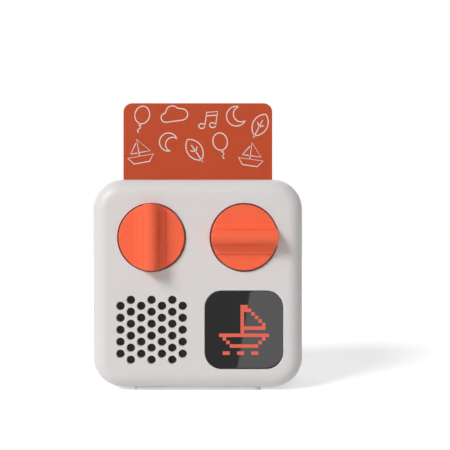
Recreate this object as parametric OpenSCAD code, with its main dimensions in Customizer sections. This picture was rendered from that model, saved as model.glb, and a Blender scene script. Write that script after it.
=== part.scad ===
// Audio story player with two knobs, a dot-matrix window, a speaker and a card slot in its top.
// X runs to the right, Y runs from the front to the back and Z runs up.
// The origin is on the base pad's underside, below the middle of the body.

/* [Body] */
// Width of the body
body_w = 70; // [68:1:80]
// Height of the body without its base pad
body_h = 69.4; // [68:0.1:80]
// Depth of the body
body_d = 35; // [34:1:42]
// Radius of the four corners, seen from the front
corner_r = 10; // [8:0.5:14]
// Radius of the soft edge round the front face
front_fillet = 5.3; // [3:0.1:6]
// Radius of the edge round the back face
rear_fillet = 3; // [2:0.1:3.5]
// Wall thickness of the housing
wall = 2; // [1.8:0.1:2.4]
// Depth of the rear cover's side walls
cover_d = 6; // [5:0.1:6.5]
// Length of the cover's locating lip inside the front shell
lip_l = 1.5; // [1:0.1:2]
// Thickness of that lip
lip_t = 1.2; // [0.8:0.1:1.5]
// Gap between the lip and the shell's walls
lip_fit = 0.15; // [0.1:0.05:0.3]

/* [Base pad] */
// Width of the base pad
pad_w = 42.4; // [30:0.2:48]
// Distance of the pad's front edge behind the front face
pad_front = 3.4; // [3:0.1:8]
// Distance of the pad's rear edge in front of the rear cover
pad_rear = 1; // [1:0.1:4]
// Height of the pad below the body
pad_stand = 1; // [1:0.1:3]
// Depth of the pad's seat in the body
pad_seat = 0.8; // [0.4:0.1:1]
// Radius of the pad's corners
pad_corner = 2.5; // [1:0.5:6]

/* [Front layout] */
// Distance between the knob centres, and from the knobs down to the speaker and the window
feature_pitch = 30.4; // [29:0.2:34]
// Height of the speaker's and the window's centres above the body's underside
layout_rise = 19.55; // [18.7:0.05:21]

/* [Knobs] */
// Diameter of a knob
knob_d = 21.6; // [19:0.1:23]
// Gap between a knob and its well
knob_gap = 0.55; // [0.4:0.05:0.8]
// Depth of a knob's well
well_depth = 3.2; // [2.8:0.1:3.6]
// Thickness of the well's floor
well_floor = 1.2; // [1:0.1:1.6]
// Thickness of the well's round wall
well_wall = 1.2; // [1:0.1:1.6]
// Height of the knob's disc above the front face
knob_proud = 1; // [0.5:0.1:2]
// Height of the grip ridge above the disc
ridge_h = 4.8; // [4:0.1:6]
// Radius of the ridge's round crest
crest_r = 2; // [1.5:0.1:2.2]
// Extra radius of the hollow flanks, which sinks them slightly into the disc
flank_sink = 0.1; // [0.05:0.01:0.2]
// Radius of the hub under the disc
hub_r = 5; // [4.4:0.1:5.4]
// Length of the hub under the disc
hub_l = 2; // [1.6:0.1:2.2]
// Travel of a pressed knob
knob_travel = 0.6; // [0.4:0.1:0.7]
// Gap that is left under a fully pressed knob
knob_reserve = 0.3; // [0.2:0.1:0.5]

/* [Encoders] */
// Diameter of the turning shaft
shaft_d = 6; // [5:0.1:6.5]
// Depth of the flat on the shaft
shaft_flat = 1.5; // [1:0.1:2]
// Running gap round a shaft or plunger
running_fit = 0.05; // [0.02:0.01:0.08]
// Length of the shaft inside the encoder
shaft_grip = 3; // [2.5:0.1:3.2]
// Thickness of the press plunger
plunger_t = 1.4; // [1:0.1:1.5]
// Width and height of the encoder housing
encoder_w = 12; // [11:0.5:13]
// Depth of the encoder housing
encoder_d = 6.5; // [6.4:0.1:8]
// Free space between the well's floor and the encoder
encoder_clear = 0.9; // [0.9:0.1:1.5]

/* [Speaker] */
// Diameter of a grille hole
hole_d = 2.7; // [2:0.1:3]
// Distance between neighbouring grille holes
hole_pitch = 3.94; // [3.6:0.02:4.2]
// Columns of grille holes, an odd number
hole_columns = 7; // [5:2:7]
// Holes in the outer columns
hole_rows = 5; // [3:1:5]
// Diameter of the speaker
speaker_d = 28; // [26:0.5:28]
// Thickness of the foam ring in front of the speaker
gasket_t = 0.6; // [0.4:0.1:1]
// Width of the foam ring and of the speaker's flange
gasket_w = 1.7; // [1.5:0.1:2]
// Thickness of the dust mesh
mesh_t = 0.2; // [0.1:0.05:0.3]
// Space between the magnet and the main board
magnet_clear = 0.4; // [0.3:0.1:0.8]
// Travel of the cone to each side
cone_travel = 0.4; // [0.2:0.1:0.4]

/* [Display] */
// Width and height of the window
window_w = 25.8; // [24:0.1:26]
// Radius of the window's corners
window_corner = 5.6; // [2:0.1:8]
// Thickness of the window lens
lens_t = 1.4; // [1:0.1:1.5]
// Gap round the lens, and depth of the lens below the front face
lens_gap = 0.1; // [0.05:0.01:0.15]
// Lamps along each side of the matrix
lamp_count = 16; // [8:1:16]
// Distance between lamps
lamp_pitch = 1.175; // [1:0.005:1.2]
// Thickness of the ribs between the lamp cells
grid_rib = 0.25; // [0.2:0.05:0.35]
// Depth of the lamp lattice
grid_t = 1.2; // [0.8:0.1:1.4]
// Width of the plain edge round the lattice
grid_edge = 0.6; // [0.4:0.1:0.7]
// Width and height of the lamp board
lamp_board_w = 23.4; // [22.6:0.1:24]

/* [Card] */
// Width of the card
card_w = 53.98; // [50:0.02:54]
// Height of the card
card_h = 85.6; // [82:0.1:88]
// Thickness of the card
card_t = 0.76; // [0.6:0.02:1]
// Radius of the card's corners
card_corner = 3.18; // [1:0.01:5]
// Distance of the card in front of the back face
card_rear = 11; // [10.8:0.1:11.4]
// Height of the seated card's lower edge above the inside of the bottom wall
card_seat = 11.35; // [9.6:0.05:20]
// Gap on each face of the card inside its guide
card_play = 0.35; // [0.2:0.05:0.45]
// Gap on each side edge of the card
card_side_play = 0.4; // [0.2:0.05:0.5]
// Extra gap of the slot in the housing over the guide's pocket
slot_extra = 0.15; // [0.1:0.05:0.3]
// Wall thickness of the card guide
guide_wall = 1; // [0.8:0.1:1.1]

/* [Electronics] */
// Thickness of the circuit boards
board_t = 1.6; // [1.2:0.1:1.8]
// Thickness of the reader board and of the lamp board
thin_board_t = 1; // [0.8:0.1:1]
// Gap between the main board's edge and the side walls
board_gap = 1.5; // [1:0.1:2]
// Width and height of the reader board
reader_w = 40; // [36:1:40]
// Width of the battery
battery_w = 34; // [30:1:38]
// Height of the battery
battery_h = 50; // [44:1:50]
// Thickness of the battery
battery_t = 5.2; // [4:0.1:5.4]
// Thickness of the adhesive foam behind the battery
foam_t = 0.5; // [0.3:0.1:0.6]
// Radius of a battery wire
wire_r = 0.6; // [0.4:0.05:0.8]
// Radius of the hole in the headphone jack
jack_bore_r = 1.8; // [1.78:0.01:1.85]
// Radius of the jack's round nose
jack_nose_r = 2.8; // [2.6:0.1:3]
// Diameter of the power button
button_d = 6.5; // [5:0.1:8]
// Travel of the power button
button_travel = 0.5; // [0.3:0.1:0.5]
// Height of the power button above the side wall
button_proud = 0.6; // [0.5:0.1:1]

/* [Screws] */
// Diameter of the screw shanks
screw_d = 2; // [1.8:0.1:2.2]
// Diameter of the screw heads
screw_head_d = 3.8; // [3.4:0.1:4]
// Height of the screw heads
screw_head_h = 1.3; // [1:0.1:1.5]
// Wall round a screw's hole in its boss
boss_wall = 1.4; // [1.2:0.1:1.6]

/* [Hidden] */
$fn = 64;
// Overshoot of cutting shapes past the face that they cut
cut = 1;

// Planes along Y, from the front to the back
front_y = -body_d / 2;
back_y = body_d / 2;
split_y = back_y - cover_d;
inner_front_y = front_y + wall;
inner_back_y = back_y - wall;
well_floor_y = front_y + well_depth;
well_back_y = well_floor_y + well_floor;
encoder_front_y = well_back_y + encoder_clear;
board_front_y = encoder_front_y + encoder_d;
board_back_y = board_front_y + board_t;
card_y = back_y - card_rear;
pocket_half = card_t / 2 + card_play;
guide_front_y = card_y - pocket_half - guide_wall;
guide_back_y = card_y + pocket_half + guide_wall;
reader_front_y = guide_front_y - thin_board_t;
battery_back_y = inner_back_y - foam_t;
battery_front_y = battery_back_y - battery_t;

// Base pad, with a gap round it in its seat
pad_play = 0.05;
pad_front_y = front_y + pad_front;
pad_back_y = split_y - pad_rear;

// Heights along Z
body_top = pad_stand + body_h;
center_z = pad_stand + body_h / 2;
inner_top = body_top - wall;
inner_bottom = pad_stand + wall;
low_z = pad_stand + layout_rise;
high_z = low_z + feature_pitch;
feature_x = feature_pitch / 2;
card_bottom = inner_bottom + card_seat;
guide_floor = 1.2;
guide_bottom = card_bottom - guide_floor;

// The housing's inside
inner_half_w = body_w / 2 - wall;
inner_corner = corner_r - wall;
inner_fillet = 1;

// Knob and well; a ring-shaped groove lightens the disc from behind
knob_r = knob_d / 2;
rim_wall = 1.6;
hub_land = 1.2;
groove_out_r = knob_r - rim_wall;
groove_in_r = hub_r + hub_land;
groove_depth = 1.65;
well_r = knob_r + knob_gap;
disc_back_y = well_floor_y - knob_travel - knob_reserve;
disc_front_y = front_y - knob_proud;
disc_t = disc_back_y - disc_front_y;
crest_h = disc_t + ridge_h - crest_r;
flank_r = ridge_h - crest_r + flank_sink;
hub_clear = 0.4;
hub_hole_r = hub_r + hub_clear;
plunger_play = 0.2;
socket_roof = 0.8;
shaft_front_y = disc_front_y + socket_roof + running_fit;
shaft_back_y = encoder_front_y + shaft_grip;
plunger_back_y = shaft_back_y + plunger_t;
bore_reserve = 0.2;

// Screws: two in the bottom corners hold the cover, four hold the main board
boss_r = screw_d / 2 + boss_wall;
screw_play = 0.05;
head_play = 0.2;
head_recess_r = screw_head_d / 2 + head_play;
recess_edge = 0.15;
cover_screw_x = 25;
cover_screw_z = pad_stand + rear_fillet + recess_edge + head_recess_r;
head_floor = 1.5;
head_seat_y = split_y + head_floor;
cover_screw_l = 8;
board_screw_l = 5;
post_side = 4.5;
post_end = 4;
post_side_x = inner_half_w - post_side;
post_side_z = (low_z + high_z) / 2;
BOARD_POSTS = [
    [0, inner_top - post_end], [0, inner_bottom + post_end],
    [-post_side_x, post_side_z], [post_side_x, post_side_z]
];
COVER_BOSSES = [[-cover_screw_x, cover_screw_z], [cover_screw_x, cover_screw_z]];

// Depth of the lip's root inside the cover
lip_root = 2;

// Hooks at the top of the cover
hook_x = 15;
hook_w = 8;
hook_rise = 0.6;
hook_nose = 1;
hook_fit = 0.15;
hook_y = split_y - lip_l - hook_nose;

// Posts on the cover that press the card guide forward
press_post_x = 24;
press_post_z = 20;
press_post_r = 2;

// Speaker, measured from the inside of the front wall
speaker_r = speaker_d / 2;
ring_wall = 1;
ring_h = 3;
ring_fit = 0.3;
mesh_fit = 0.05;
flange_t = 1.2;
gasket_back = mesh_t + gasket_t;
magnet_back = board_front_y - inner_front_y - magnet_clear;
magnet_t = 2.7;
magnet_r = 8;
yoke_t = 0.8;
basket_back = magnet_back - magnet_t;
flange_back = gasket_back + flange_t;
basket_wall = 0.9;
basket_edge = 0.4;
basket_plate_r = magnet_r + basket_edge;
basket_window_d = 2;
flange_step = 0.8;
flange_in_r = speaker_r - gasket_w - flange_step;
roll_r = 0.65;
roll_wall = 0.3;
roll_r_mid = flange_in_r - roll_r;
cone_gap = 0.3;
cone_r = roll_r_mid - roll_r - cone_gap;
coil_r = 3.6;
coil_l = 0.6;
coil_clear = 0.6;
paper_t = 0.4;
cap_rise = 1;
cone_set = 0.8;
roll_set = 0.2;
cone_front = gasket_back + cone_set;
roll_plane = cone_front + roll_set;
cone_back = basket_back - yoke_t - cone_travel - coil_l - coil_clear;
contact_r = 0.5;
contact_pitch = 3;
contact_edge = 1.2;

// Display
grid_w = lamp_count * lamp_pitch + 2 * grid_edge;
opening_fit = 0.4;
opening_w = grid_w + 2 * opening_fit;
lens_front_y = front_y + lens_gap;
lens_back_y = lens_front_y + lens_t;
grid_front_y = lens_back_y;
grid_back_y = grid_front_y + grid_t;
lamp_board_back_y = grid_back_y + thin_board_t;
locator_fit = 0.2;
locator_wall = 0.8;
locator_l = 3;
frame_wall = 1.2;

// Sockets and button, on the back of the main board
usb_w = 8.94;
usb_t = 3.26;
usb_l = 7.3;
usb_sheet = 0.3;
usb_sink = 0.8;
usb_flat = 0.1;
usb_corner = (usb_t - usb_flat) / 2;
usb_back_t = 1;
tongue_t = 0.7;
tongue_w = 6.7;
tongue_sink = 1;
port_rise = 7.95;
usb_z = post_side_z + port_rise;
usb_y = board_back_y + usb_t / 2;
port_fit = 0.3;
jack_t = 5;
jack_h = 6;
jack_l = 14.5;
jack_bore_l = 14;
jack_nose_l = 2;
jack_sink = 0.4;
jack_drop = 14.05;
jack_z = post_side_z - jack_drop;
jack_y = board_back_y + jack_t / 2;
jack_mouth_x = -body_w / 2 + jack_sink;
button_z = post_side_z + port_rise;
switch_t = 3.5;
switch_w = 6;
switch_l = 4;
button_y = board_back_y + switch_t / 2;
button_flange = 1;
button_fit = 0.1;
button_edge = 0.5;
button_flange_t = 0.8;
flange_gap = 0.1;
button_in_x = inner_half_w - button_flange_t - flange_gap;
nub_l = 0.5;
nub_r = 1;
nub_gap = 0.1;
switch_right_x = button_in_x - button_travel - nub_l - nub_gap;
board_half_w = inner_half_w - board_gap;
board_end_gap = 2;
board_half_h = body_h / 2 - wall - board_end_gap;
board_corner = inner_corner - board_end_gap;
hole_play = 0.1;
notch_play = 0.4;
shield_w = 18;
shield_t = 2;
shield_x = 6;
shield_rise = 4;
shield_corner = 1;

// Reader board and its pin header
reader_rise = 5;
reader_z = center_z + reader_rise;
reader_corner = 2;
header_w = 12.7;
header_h = 2.5;
header_drop = 4;

// Windows in the guide's back wall
guide_window_w = 30;
guide_window_h = 16;
guide_window_corner = 3;
guide_window_pitch = 26;

// Battery, its socket and its wires
socket_x = 8;
socket_w = 8;
socket_h = 5;
socket_t = 5;
socket_rise = 4.5;
wire_z = inner_bottom + socket_rise;
wire_gap = 2.4;
wire_bend = 2.5;
battery_gap = 0.3;
battery_z = wire_z + wire_bend + battery_gap + battery_h / 2;
battery_corner = 1.5;
foam_edge = 3;

// Extrudes a front-view outline (X right, Z up) between two planes along Y
module slab(front, back)
    translate([0, back, 0])
        rotate([90, 0, 0])
            linear_extrude(back - front)
                children();

// Extrudes a side-view outline (Y, Z) between two planes along X
module cross_slab(left, right)
    translate([left, 0, 0])
        rotate([90, 0, 90])
            linear_extrude(right - left)
                children();

// Round rod along Y at (x, z)
module rod(place, front, back, r)
    slab(front, back)
        translate(place)
            circle(r);

// Revolves a profile (radius, distance behind the inside of the front wall) about the speaker's axis
module speaker_revolve()
    translate([-feature_x, inner_front_y, low_z])
        rotate([-90, 0, 0])
            rotate_extrude()
                children();

// Rectangle with round corners
module rounded_rect(w, h, r) {
    square([w - 2 * r, h], center = true);
    square([w, h - 2 * r], center = true);
    for (x = [-1, 1], y = [-1, 1])
        translate([x * (w / 2 - r), y * (h / 2 - r)])
            circle(r);
}

// Section through a rounded edge: x runs outwards, y runs from the flat plane to the rounded face
module edge_section(reach, depth, fillet)
    difference() {
        square([reach, depth]);
        translate([reach - fillet, depth - fillet])
            difference() {
                square(fillet + cut);
                circle(fillet);
            }
    }

// Block with round corners and a fillet round its front face; its back plane is flat
module pillow(w, h, r, fillet, depth) {
    half = [w / 2 - r, h / 2 - r];
    translate([-half.x, -half.y, 0])
        cube([2 * half.x, 2 * half.y, depth]);
    for (quarter = [0:3]) {
        side = [quarter == 0 || quarter == 3 ? 1 : -1, quarter < 2 ? 1 : -1];
        translate([side.x * half.x, side.y * half.y, 0])
            rotate(90 * quarter) {
                rotate_extrude(angle = 90)
                    edge_section(r, depth, fillet);
                rotate([90, 0, 0])
                    linear_extrude(2 * (quarter % 2 == 0 ? half.y : half.x))
                        edge_section(r, depth, fillet);
            }
    }
}

// Outer form (inset 0) or hollow (inset wall) of the housing, rounded at the front
module front_form(inset, back)
    translate([0, back, center_z])
        rotate([90, 0, 0])
            pillow(body_w - 2 * inset, body_h - 2 * inset, corner_r - inset,
                front_fillet - inset, back - front_y - inset);

// The same, rounded at the back
module rear_form(inset, front)
    translate([0, front, center_z])
        rotate([-90, 0, 0])
            pillow(body_w - 2 * inset, body_h - 2 * inset, corner_r - inset,
                max(rear_fillet - inset, inner_fillet), back_y - front - inset);

// Hexagonal field of grille holes as a flat pattern
module grille_pattern()
    for (column = [-(hole_columns - 1) / 2 : (hole_columns - 1) / 2]) {
        outer = abs(column) % 2 == (hole_columns - 1) / 2 % 2;
        rows = outer ? hole_rows : hole_rows + 1;
        for (row = [0 : rows - 1])
            translate([column * hole_pitch * cos(30), (row - (rows - 1) / 2) * hole_pitch])
                circle(d = hole_d);
    }

// Slot with round ends in the top wall
module slot_outline() {
    slot_t = 2 * (pocket_half + slot_extra);
    slot_w = card_w + 2 * (card_side_play + slot_extra);
    square([slot_w - slot_t, slot_t], center = true);
    for (side = [-1, 1])
        translate([side * (slot_w - slot_t) / 2, 0])
            circle(d = slot_t);
}

module front_shell() {
    color([0.86, 0.85, 0.84])
        difference() {
            union() {
                difference() {
                    front_form(0, split_y);
                    front_form(wall, split_y + cut);
                }
                for (x = [-feature_x, feature_x])
                    rod([x, high_z], inner_front_y - wall / 2, well_back_y, well_r + well_wall);
                for (place = COVER_BOSSES)
                    rod(place, inner_front_y - wall / 4, split_y, boss_r);
                for (place = BOARD_POSTS)
                    rod(place, inner_front_y - wall / 4, board_front_y, boss_r);
                speaker_ring();
                lamp_locator();
            }
            for (x = [-feature_x, feature_x]) {
                rod([x, high_z], front_y - cut, well_floor_y, well_r);
                rod([x, high_z], front_y, well_back_y + cut, hub_hole_r);
            }
            slab(front_y - cut, inner_front_y + cut)
                translate([-feature_x, low_z])
                    grille_pattern();
            slab(front_y - cut, lens_back_y)
                translate([feature_x, low_z])
                    rounded_rect(window_w, window_w, window_corner);
            slab(front_y, inner_front_y + cut)
                translate([feature_x, low_z])
                    square(opening_w, center = true);
            for (place = COVER_BOSSES)
                rod(place, split_y - cover_screw_l - cut, split_y + cut, screw_d / 2 + screw_play);
            for (place = BOARD_POSTS)
                rod(place, board_back_y - board_screw_l - cut, board_front_y + cut,
                    screw_d / 2 + screw_play);
            translate([0, card_y, inner_top - cut])
                linear_extrude(wall + 2 * cut)
                    slot_outline();
            pad_seat_cut();
            hook_pockets();
            side_ports();
        }
}

// Ring on the front wall that centres the speaker
module speaker_ring()
    slab(inner_front_y - wall / 4, inner_front_y + ring_h)
        translate([-feature_x, low_z])
            difference() {
                circle(speaker_r + ring_fit + ring_wall);
                circle(speaker_r + ring_fit);
            }

// Square rib on the front wall that centres the lamp board
module lamp_locator() {
    inside = lamp_board_w + 2 * locator_fit;
    slab(inner_front_y - wall / 4, inner_front_y + locator_l)
        translate([feature_x, low_z])
            difference() {
                square(inside + 2 * locator_wall, center = true);
                square(inside, center = true);
            }
}

// Outline of the pad or of its seat, seen from below
module pad_outline(gap)
    translate([0, (pad_front_y + pad_back_y) / 2])
        rounded_rect(pad_w - 2 * gap, pad_back_y - pad_front_y - 2 * gap, pad_corner);

module pad_seat_cut()
    translate([0, 0, pad_stand - cut])
        linear_extrude(pad_seat + cut)
            pad_outline(0);

// Pockets for the cover's hooks in the underside of the top wall
module hook_pockets()
    for (side = [-1, 1])
        translate([side * hook_x - hook_w / 2 - hook_fit, hook_y - hook_fit, inner_top - cut])
            cube([hook_w + 2 * hook_fit, hook_nose + 2 * hook_fit, hook_rise + hook_fit + cut]);

// Openings in the side walls for the two sockets and the power button
module side_ports() {
    cross_slab(-body_w / 2 - cut, -inner_half_w + cut) {
        translate([usb_y, usb_z])
            rounded_rect(usb_t + 2 * port_fit, usb_w + 2 * port_fit, usb_t / 2);
        translate([jack_y, jack_z])
            circle(jack_nose_r + port_fit);
    }
    cross_slab(inner_half_w - cut, body_w / 2 + cut)
        translate([button_y, button_z])
            circle(button_d / 2 + button_fit);
}

module rear_cover()
    color([0.84, 0.83, 0.82]) {
        difference() {
            union() {
                difference() {
                    rear_form(0, split_y);
                    rear_form(wall, split_y - cut);
                }
                cover_lip();
                for (place = COVER_BOSSES)
                    rod(place, split_y, back_y - wall / 4, head_recess_r + boss_wall);
                guide_posts();
            }
            for (place = COVER_BOSSES) {
                rod(place, head_seat_y, back_y + cut, head_recess_r);
                rod(place, split_y - cut, back_y, screw_d / 2 + screw_play);
            }
        }
        cover_hooks();
    }

// Locating lip inside the front shell, cut away round the bosses, with its root in the cover's walls
module cover_lip() {
    slab(split_y - lip_l, split_y + lip_root)
        translate([0, center_z])
            difference() {
                inner_outline(lip_fit);
                inner_outline(lip_fit + lip_t);
                for (side = [-1, 1])
                    translate([side * cover_screw_x, cover_screw_z - center_z])
                        circle(boss_r + 2 * lip_fit);
            }
    slab(split_y, split_y + lip_root)
        translate([0, center_z])
            difference() {
                inner_outline(-wall / 2);
                inner_outline(lip_fit + lip_t);
            }
}

// Outline of the housing's inside, moved inwards by an inset
module inner_outline(inset)
    rounded_rect(2 * (inner_half_w - inset), body_h - 2 * (wall + inset), inner_corner - inset);

// Hooks on the lip that catch in the top wall
module cover_hooks()
    for (side = [-1, 1])
        translate([side * hook_x, 0, 0])
            rotate([90, 0, 90])
                linear_extrude(hook_w, center = true)
                    polygon([
                        [split_y, inner_top - lip_fit - lip_t],
                        [split_y, inner_top - lip_fit],
                        [hook_y + hook_nose, inner_top - lip_fit],
                        [hook_y + hook_nose, inner_top + hook_rise],
                        [hook_y, inner_top],
                        [hook_y, inner_top - lip_fit - lip_t]
                    ]);

// Posts that press the card guide forward
module guide_posts()
    for (x = [-press_post_x, press_post_x], z = [-press_post_z, press_post_z])
        rod([x, center_z + z], guide_back_y, back_y - wall / 2, press_post_r);

module base_pad()
    color([0.78, 0.78, 0.77])
        linear_extrude(pad_stand + pad_seat)
            pad_outline(pad_play);

// Screw along Y with its head at the back
module screw(place, seat, length) {
    rod(place, seat - length, seat, screw_d / 2);
    rod(place, seat, seat + screw_head_h, screw_head_d / 2);
}

module cover_screws()
    color([0.55, 0.56, 0.58])
        for (place = COVER_BOSSES)
            screw(place, head_seat_y, cover_screw_l);

module board_screws()
    color([0.55, 0.56, 0.58])
        for (place = BOARD_POSTS)
            screw(place, board_back_y, board_screw_l);

// Outline across a knob's ridge: the disc's plate, a round crest and hollow flanks
module ridge_outline() {
    translate([0, crest_h])
        circle(crest_r);
    difference() {
        union() {
            translate([-knob_r, 0])
                square([2 * knob_r, disc_t]);
            translate([-crest_r - flank_r, 0])
                square([2 * (crest_r + flank_r), crest_h]);
        }
        for (side = [-1, 1])
            translate([side * (crest_r + flank_r), crest_h])
                circle(flank_r);
    }
}

// Outline of the shaft with its flat
module shaft_outline(grow)
    difference() {
        circle(shaft_d / 2 + grow);
        translate([-shaft_d, shaft_d / 2 - shaft_flat + grow])
            square(2 * shaft_d);
    }

module knob(x, turn)
    color([0.95, 0.38, 0.22])
        difference() {
            union() {
                translate([x, disc_back_y, high_z])
                    rotate([90, 0, 0])
                        rotate(turn)
                            intersection() {
                                rotate([90, 0, 90])
                                    linear_extrude(knob_d + 2 * cut, center = true)
                                        ridge_outline();
                                cylinder(h = crest_h + crest_r + cut, r = knob_r);
                            }
                rod([x, high_z], disc_back_y - disc_t / 2, disc_back_y + hub_l, hub_r);
            }
            slab(disc_front_y + socket_roof, disc_back_y + hub_l + cut)
                translate([x, high_z])
                    shaft_outline(running_fit);
            slab(disc_back_y - groove_depth, disc_back_y + cut)
                translate([x, high_z])
                    difference() {
                        circle(groove_out_r);
                        circle(groove_in_r);
                    }
        }

module shaft(x)
    color([0.72, 0.73, 0.75])
        slab(shaft_front_y, shaft_back_y)
            translate([x, high_z])
                shaft_outline(0);

module plunger(x)
    color([0.15, 0.15, 0.16])
        rod([x, high_z], shaft_back_y, plunger_back_y, shaft_d / 2 - plunger_play);

// Housing of an encoder with its blind bore
module encoder(x)
    color([0.66, 0.68, 0.70])
        difference() {
            slab(encoder_front_y, board_front_y)
                translate([x, high_z])
                    square(encoder_w, center = true);
            rod([x, high_z], encoder_front_y - cut, plunger_back_y + knob_travel + bore_reserve,
                shaft_d / 2 + running_fit);
        }

module left_knob() knob(-feature_x, 90);
module right_knob() knob(feature_x, 0);
module left_shaft() shaft(-feature_x);
module right_shaft() shaft(feature_x);
module left_plunger() plunger(-feature_x);
module right_plunger() plunger(feature_x);
module left_encoder() encoder(-feature_x);
module right_encoder() encoder(feature_x);

module display_lens()
    color([0.10, 0.10, 0.11])
        slab(lens_front_y, lens_back_y)
            translate([feature_x, low_z])
                rounded_rect(window_w - 2 * lens_gap, window_w - 2 * lens_gap, window_corner - lens_gap);

// Lattice with one square cell for each lamp
module light_grid() {
    first = -(lamp_count - 1) / 2 * lamp_pitch;
    color([0.08, 0.08, 0.09])
        slab(grid_front_y, grid_back_y)
            translate([feature_x, low_z])
                difference() {
                    square(grid_w, center = true);
                    for (column = [0 : lamp_count - 1], row = [0 : lamp_count - 1])
                        translate([first + column * lamp_pitch, first + row * lamp_pitch])
                            square(lamp_pitch - grid_rib, center = true);
                }
}

module led_board()
    color([0.12, 0.13, 0.14])
        slab(grid_back_y, lamp_board_back_y)
            translate([feature_x, low_z])
                square(lamp_board_w, center = true);

// Square tube that holds the lamp board off the main board
module display_frame()
    color([0.16, 0.16, 0.17])
        slab(lamp_board_back_y, board_front_y)
            translate([feature_x, low_z])
                difference() {
                    square(lamp_board_w, center = true);
                    square(lamp_board_w - 2 * frame_wall, center = true);
                }

module grille_mesh()
    color([0.12, 0.12, 0.12])
        speaker_revolve()
            square([speaker_r + ring_fit - mesh_fit, mesh_t]);

module speaker_gasket()
    color([0.18, 0.18, 0.19])
        speaker_revolve()
            translate([speaker_r - gasket_w, mesh_t])
                square([gasket_w, gasket_t]);

// Basket with a flat flange, a tapered wall with four windows and a back plate
module speaker_frame()
    color([0.60, 0.61, 0.63])
        difference() {
            speaker_revolve()
                polygon([
                    [flange_in_r, gasket_back],
                    [speaker_r, gasket_back],
                    [speaker_r, flange_back],
                    [flange_in_r + basket_wall, flange_back],
                    [basket_plate_r, basket_back],
                    [0, basket_back],
                    [0, basket_back - yoke_t],
                    [basket_plate_r - basket_wall, basket_back - yoke_t],
                    [flange_in_r, flange_back]
                ]);
            for (turn = [45 : 90 : 315])
                translate([-feature_x, inner_front_y + (flange_back + basket_back) / 2, low_z])
                    rotate([0, turn, 0])
                        translate([basket_plate_r - basket_wall, 0, 0])
                            rotate([0, 90, 0])
                                cylinder(h = speaker_r, d = basket_window_d);
        }

// Half-roll edge between the cone and the basket
module speaker_surround()
    color([0.10, 0.10, 0.10])
        speaker_revolve()
            translate([roll_r_mid, roll_plane])
                difference() {
                    circle(roll_r);
                    circle(roll_r - roll_wall);
                    translate([-roll_r - cut, 0])
                        square([2 * (roll_r + cut), roll_r + cut]);
                }

module speaker_cone()
    color([0.20, 0.20, 0.21])
        speaker_revolve()
            polygon([
                [cone_r, cone_front],
                [cone_r, cone_front + paper_t],
                [coil_r + paper_t, cone_back],
                [coil_r + paper_t, cone_back + coil_l],
                [coil_r, cone_back + coil_l],
                [coil_r, cone_back - paper_t],
                [0, cone_back - paper_t - cap_rise],
                [0, cone_back - 2 * paper_t - cap_rise],
                [coil_r, cone_back - 2 * paper_t]
            ]);

module speaker_magnet()
    color([0.35, 0.36, 0.38])
        speaker_revolve()
            translate([0, basket_back])
                square([magnet_r, magnet_t]);

// Two contact pins from the basket's flange to the main board
module speaker_contacts()
    color([0.85, 0.70, 0.30])
        for (side = [-1, 1])
            rod([-feature_x + speaker_r - contact_edge, low_z + side * contact_pitch / 2],
                inner_front_y + flange_back, board_front_y, contact_r);

module main_board()
    color([0.10, 0.35, 0.22])
        slab(board_front_y, board_back_y)
            difference() {
                translate([0, center_z])
                    rounded_rect(2 * board_half_w, 2 * board_half_h, board_corner);
                for (place = BOARD_POSTS)
                    translate(place)
                        circle(screw_d / 2 + hole_play);
                for (place = COVER_BOSSES)
                    translate(place)
                        circle(boss_r + notch_play);
            }

module processor_shield()
    color([0.70, 0.71, 0.73])
        slab(board_back_y, board_back_y + shield_t)
            translate([shield_x, center_z + shield_rise])
                rounded_rect(shield_w, shield_w, shield_corner);

module card()
    color([0.80, 0.33, 0.20])
        slab(card_y - card_t / 2, card_y + card_t / 2)
            translate([0, card_bottom + card_h / 2])
                rounded_rect(card_w, card_h, card_corner);

// Flat pocket under the slot, open at the top
module card_guide() {
    inside_w = card_w + 2 * card_side_play;
    outside_w = inside_w + 2 * guide_wall;
    color([0.20, 0.20, 0.21])
        difference() {
            slab(guide_front_y, guide_back_y)
                translate([-outside_w / 2, guide_bottom])
                    square([outside_w, inner_top - guide_bottom]);
            slab(card_y - pocket_half, card_y + pocket_half)
                translate([-inside_w / 2, card_bottom])
                    square([inside_w, card_h]);
            slab(card_y, guide_back_y + cut)
                for (side = [-1, 1])
                    translate([0, (guide_bottom + inner_top + side * guide_window_pitch) / 2])
                        rounded_rect(guide_window_w, guide_window_h, guide_window_corner);
        }
}

module reader_board()
    color([0.10, 0.35, 0.22])
        slab(reader_front_y, guide_front_y)
            translate([0, reader_z])
                rounded_rect(reader_w, reader_w, reader_corner);

// Pin header between the reader board and the main board
module reader_header()
    color([0.10, 0.10, 0.10])
        slab(board_back_y, reader_front_y)
            translate([0, reader_z + reader_w / 2 - header_drop])
                square([header_w, header_h], center = true);

module battery()
    color([0.75, 0.77, 0.80])
        slab(battery_front_y, battery_back_y)
            translate([0, battery_z])
                rounded_rect(battery_w, battery_h, battery_corner);

module battery_foam()
    color([0.25, 0.25, 0.26])
        slab(battery_back_y, inner_back_y)
            translate([0, battery_z])
                square([battery_w - 2 * foam_edge, battery_h - 2 * foam_edge], center = true);

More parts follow.
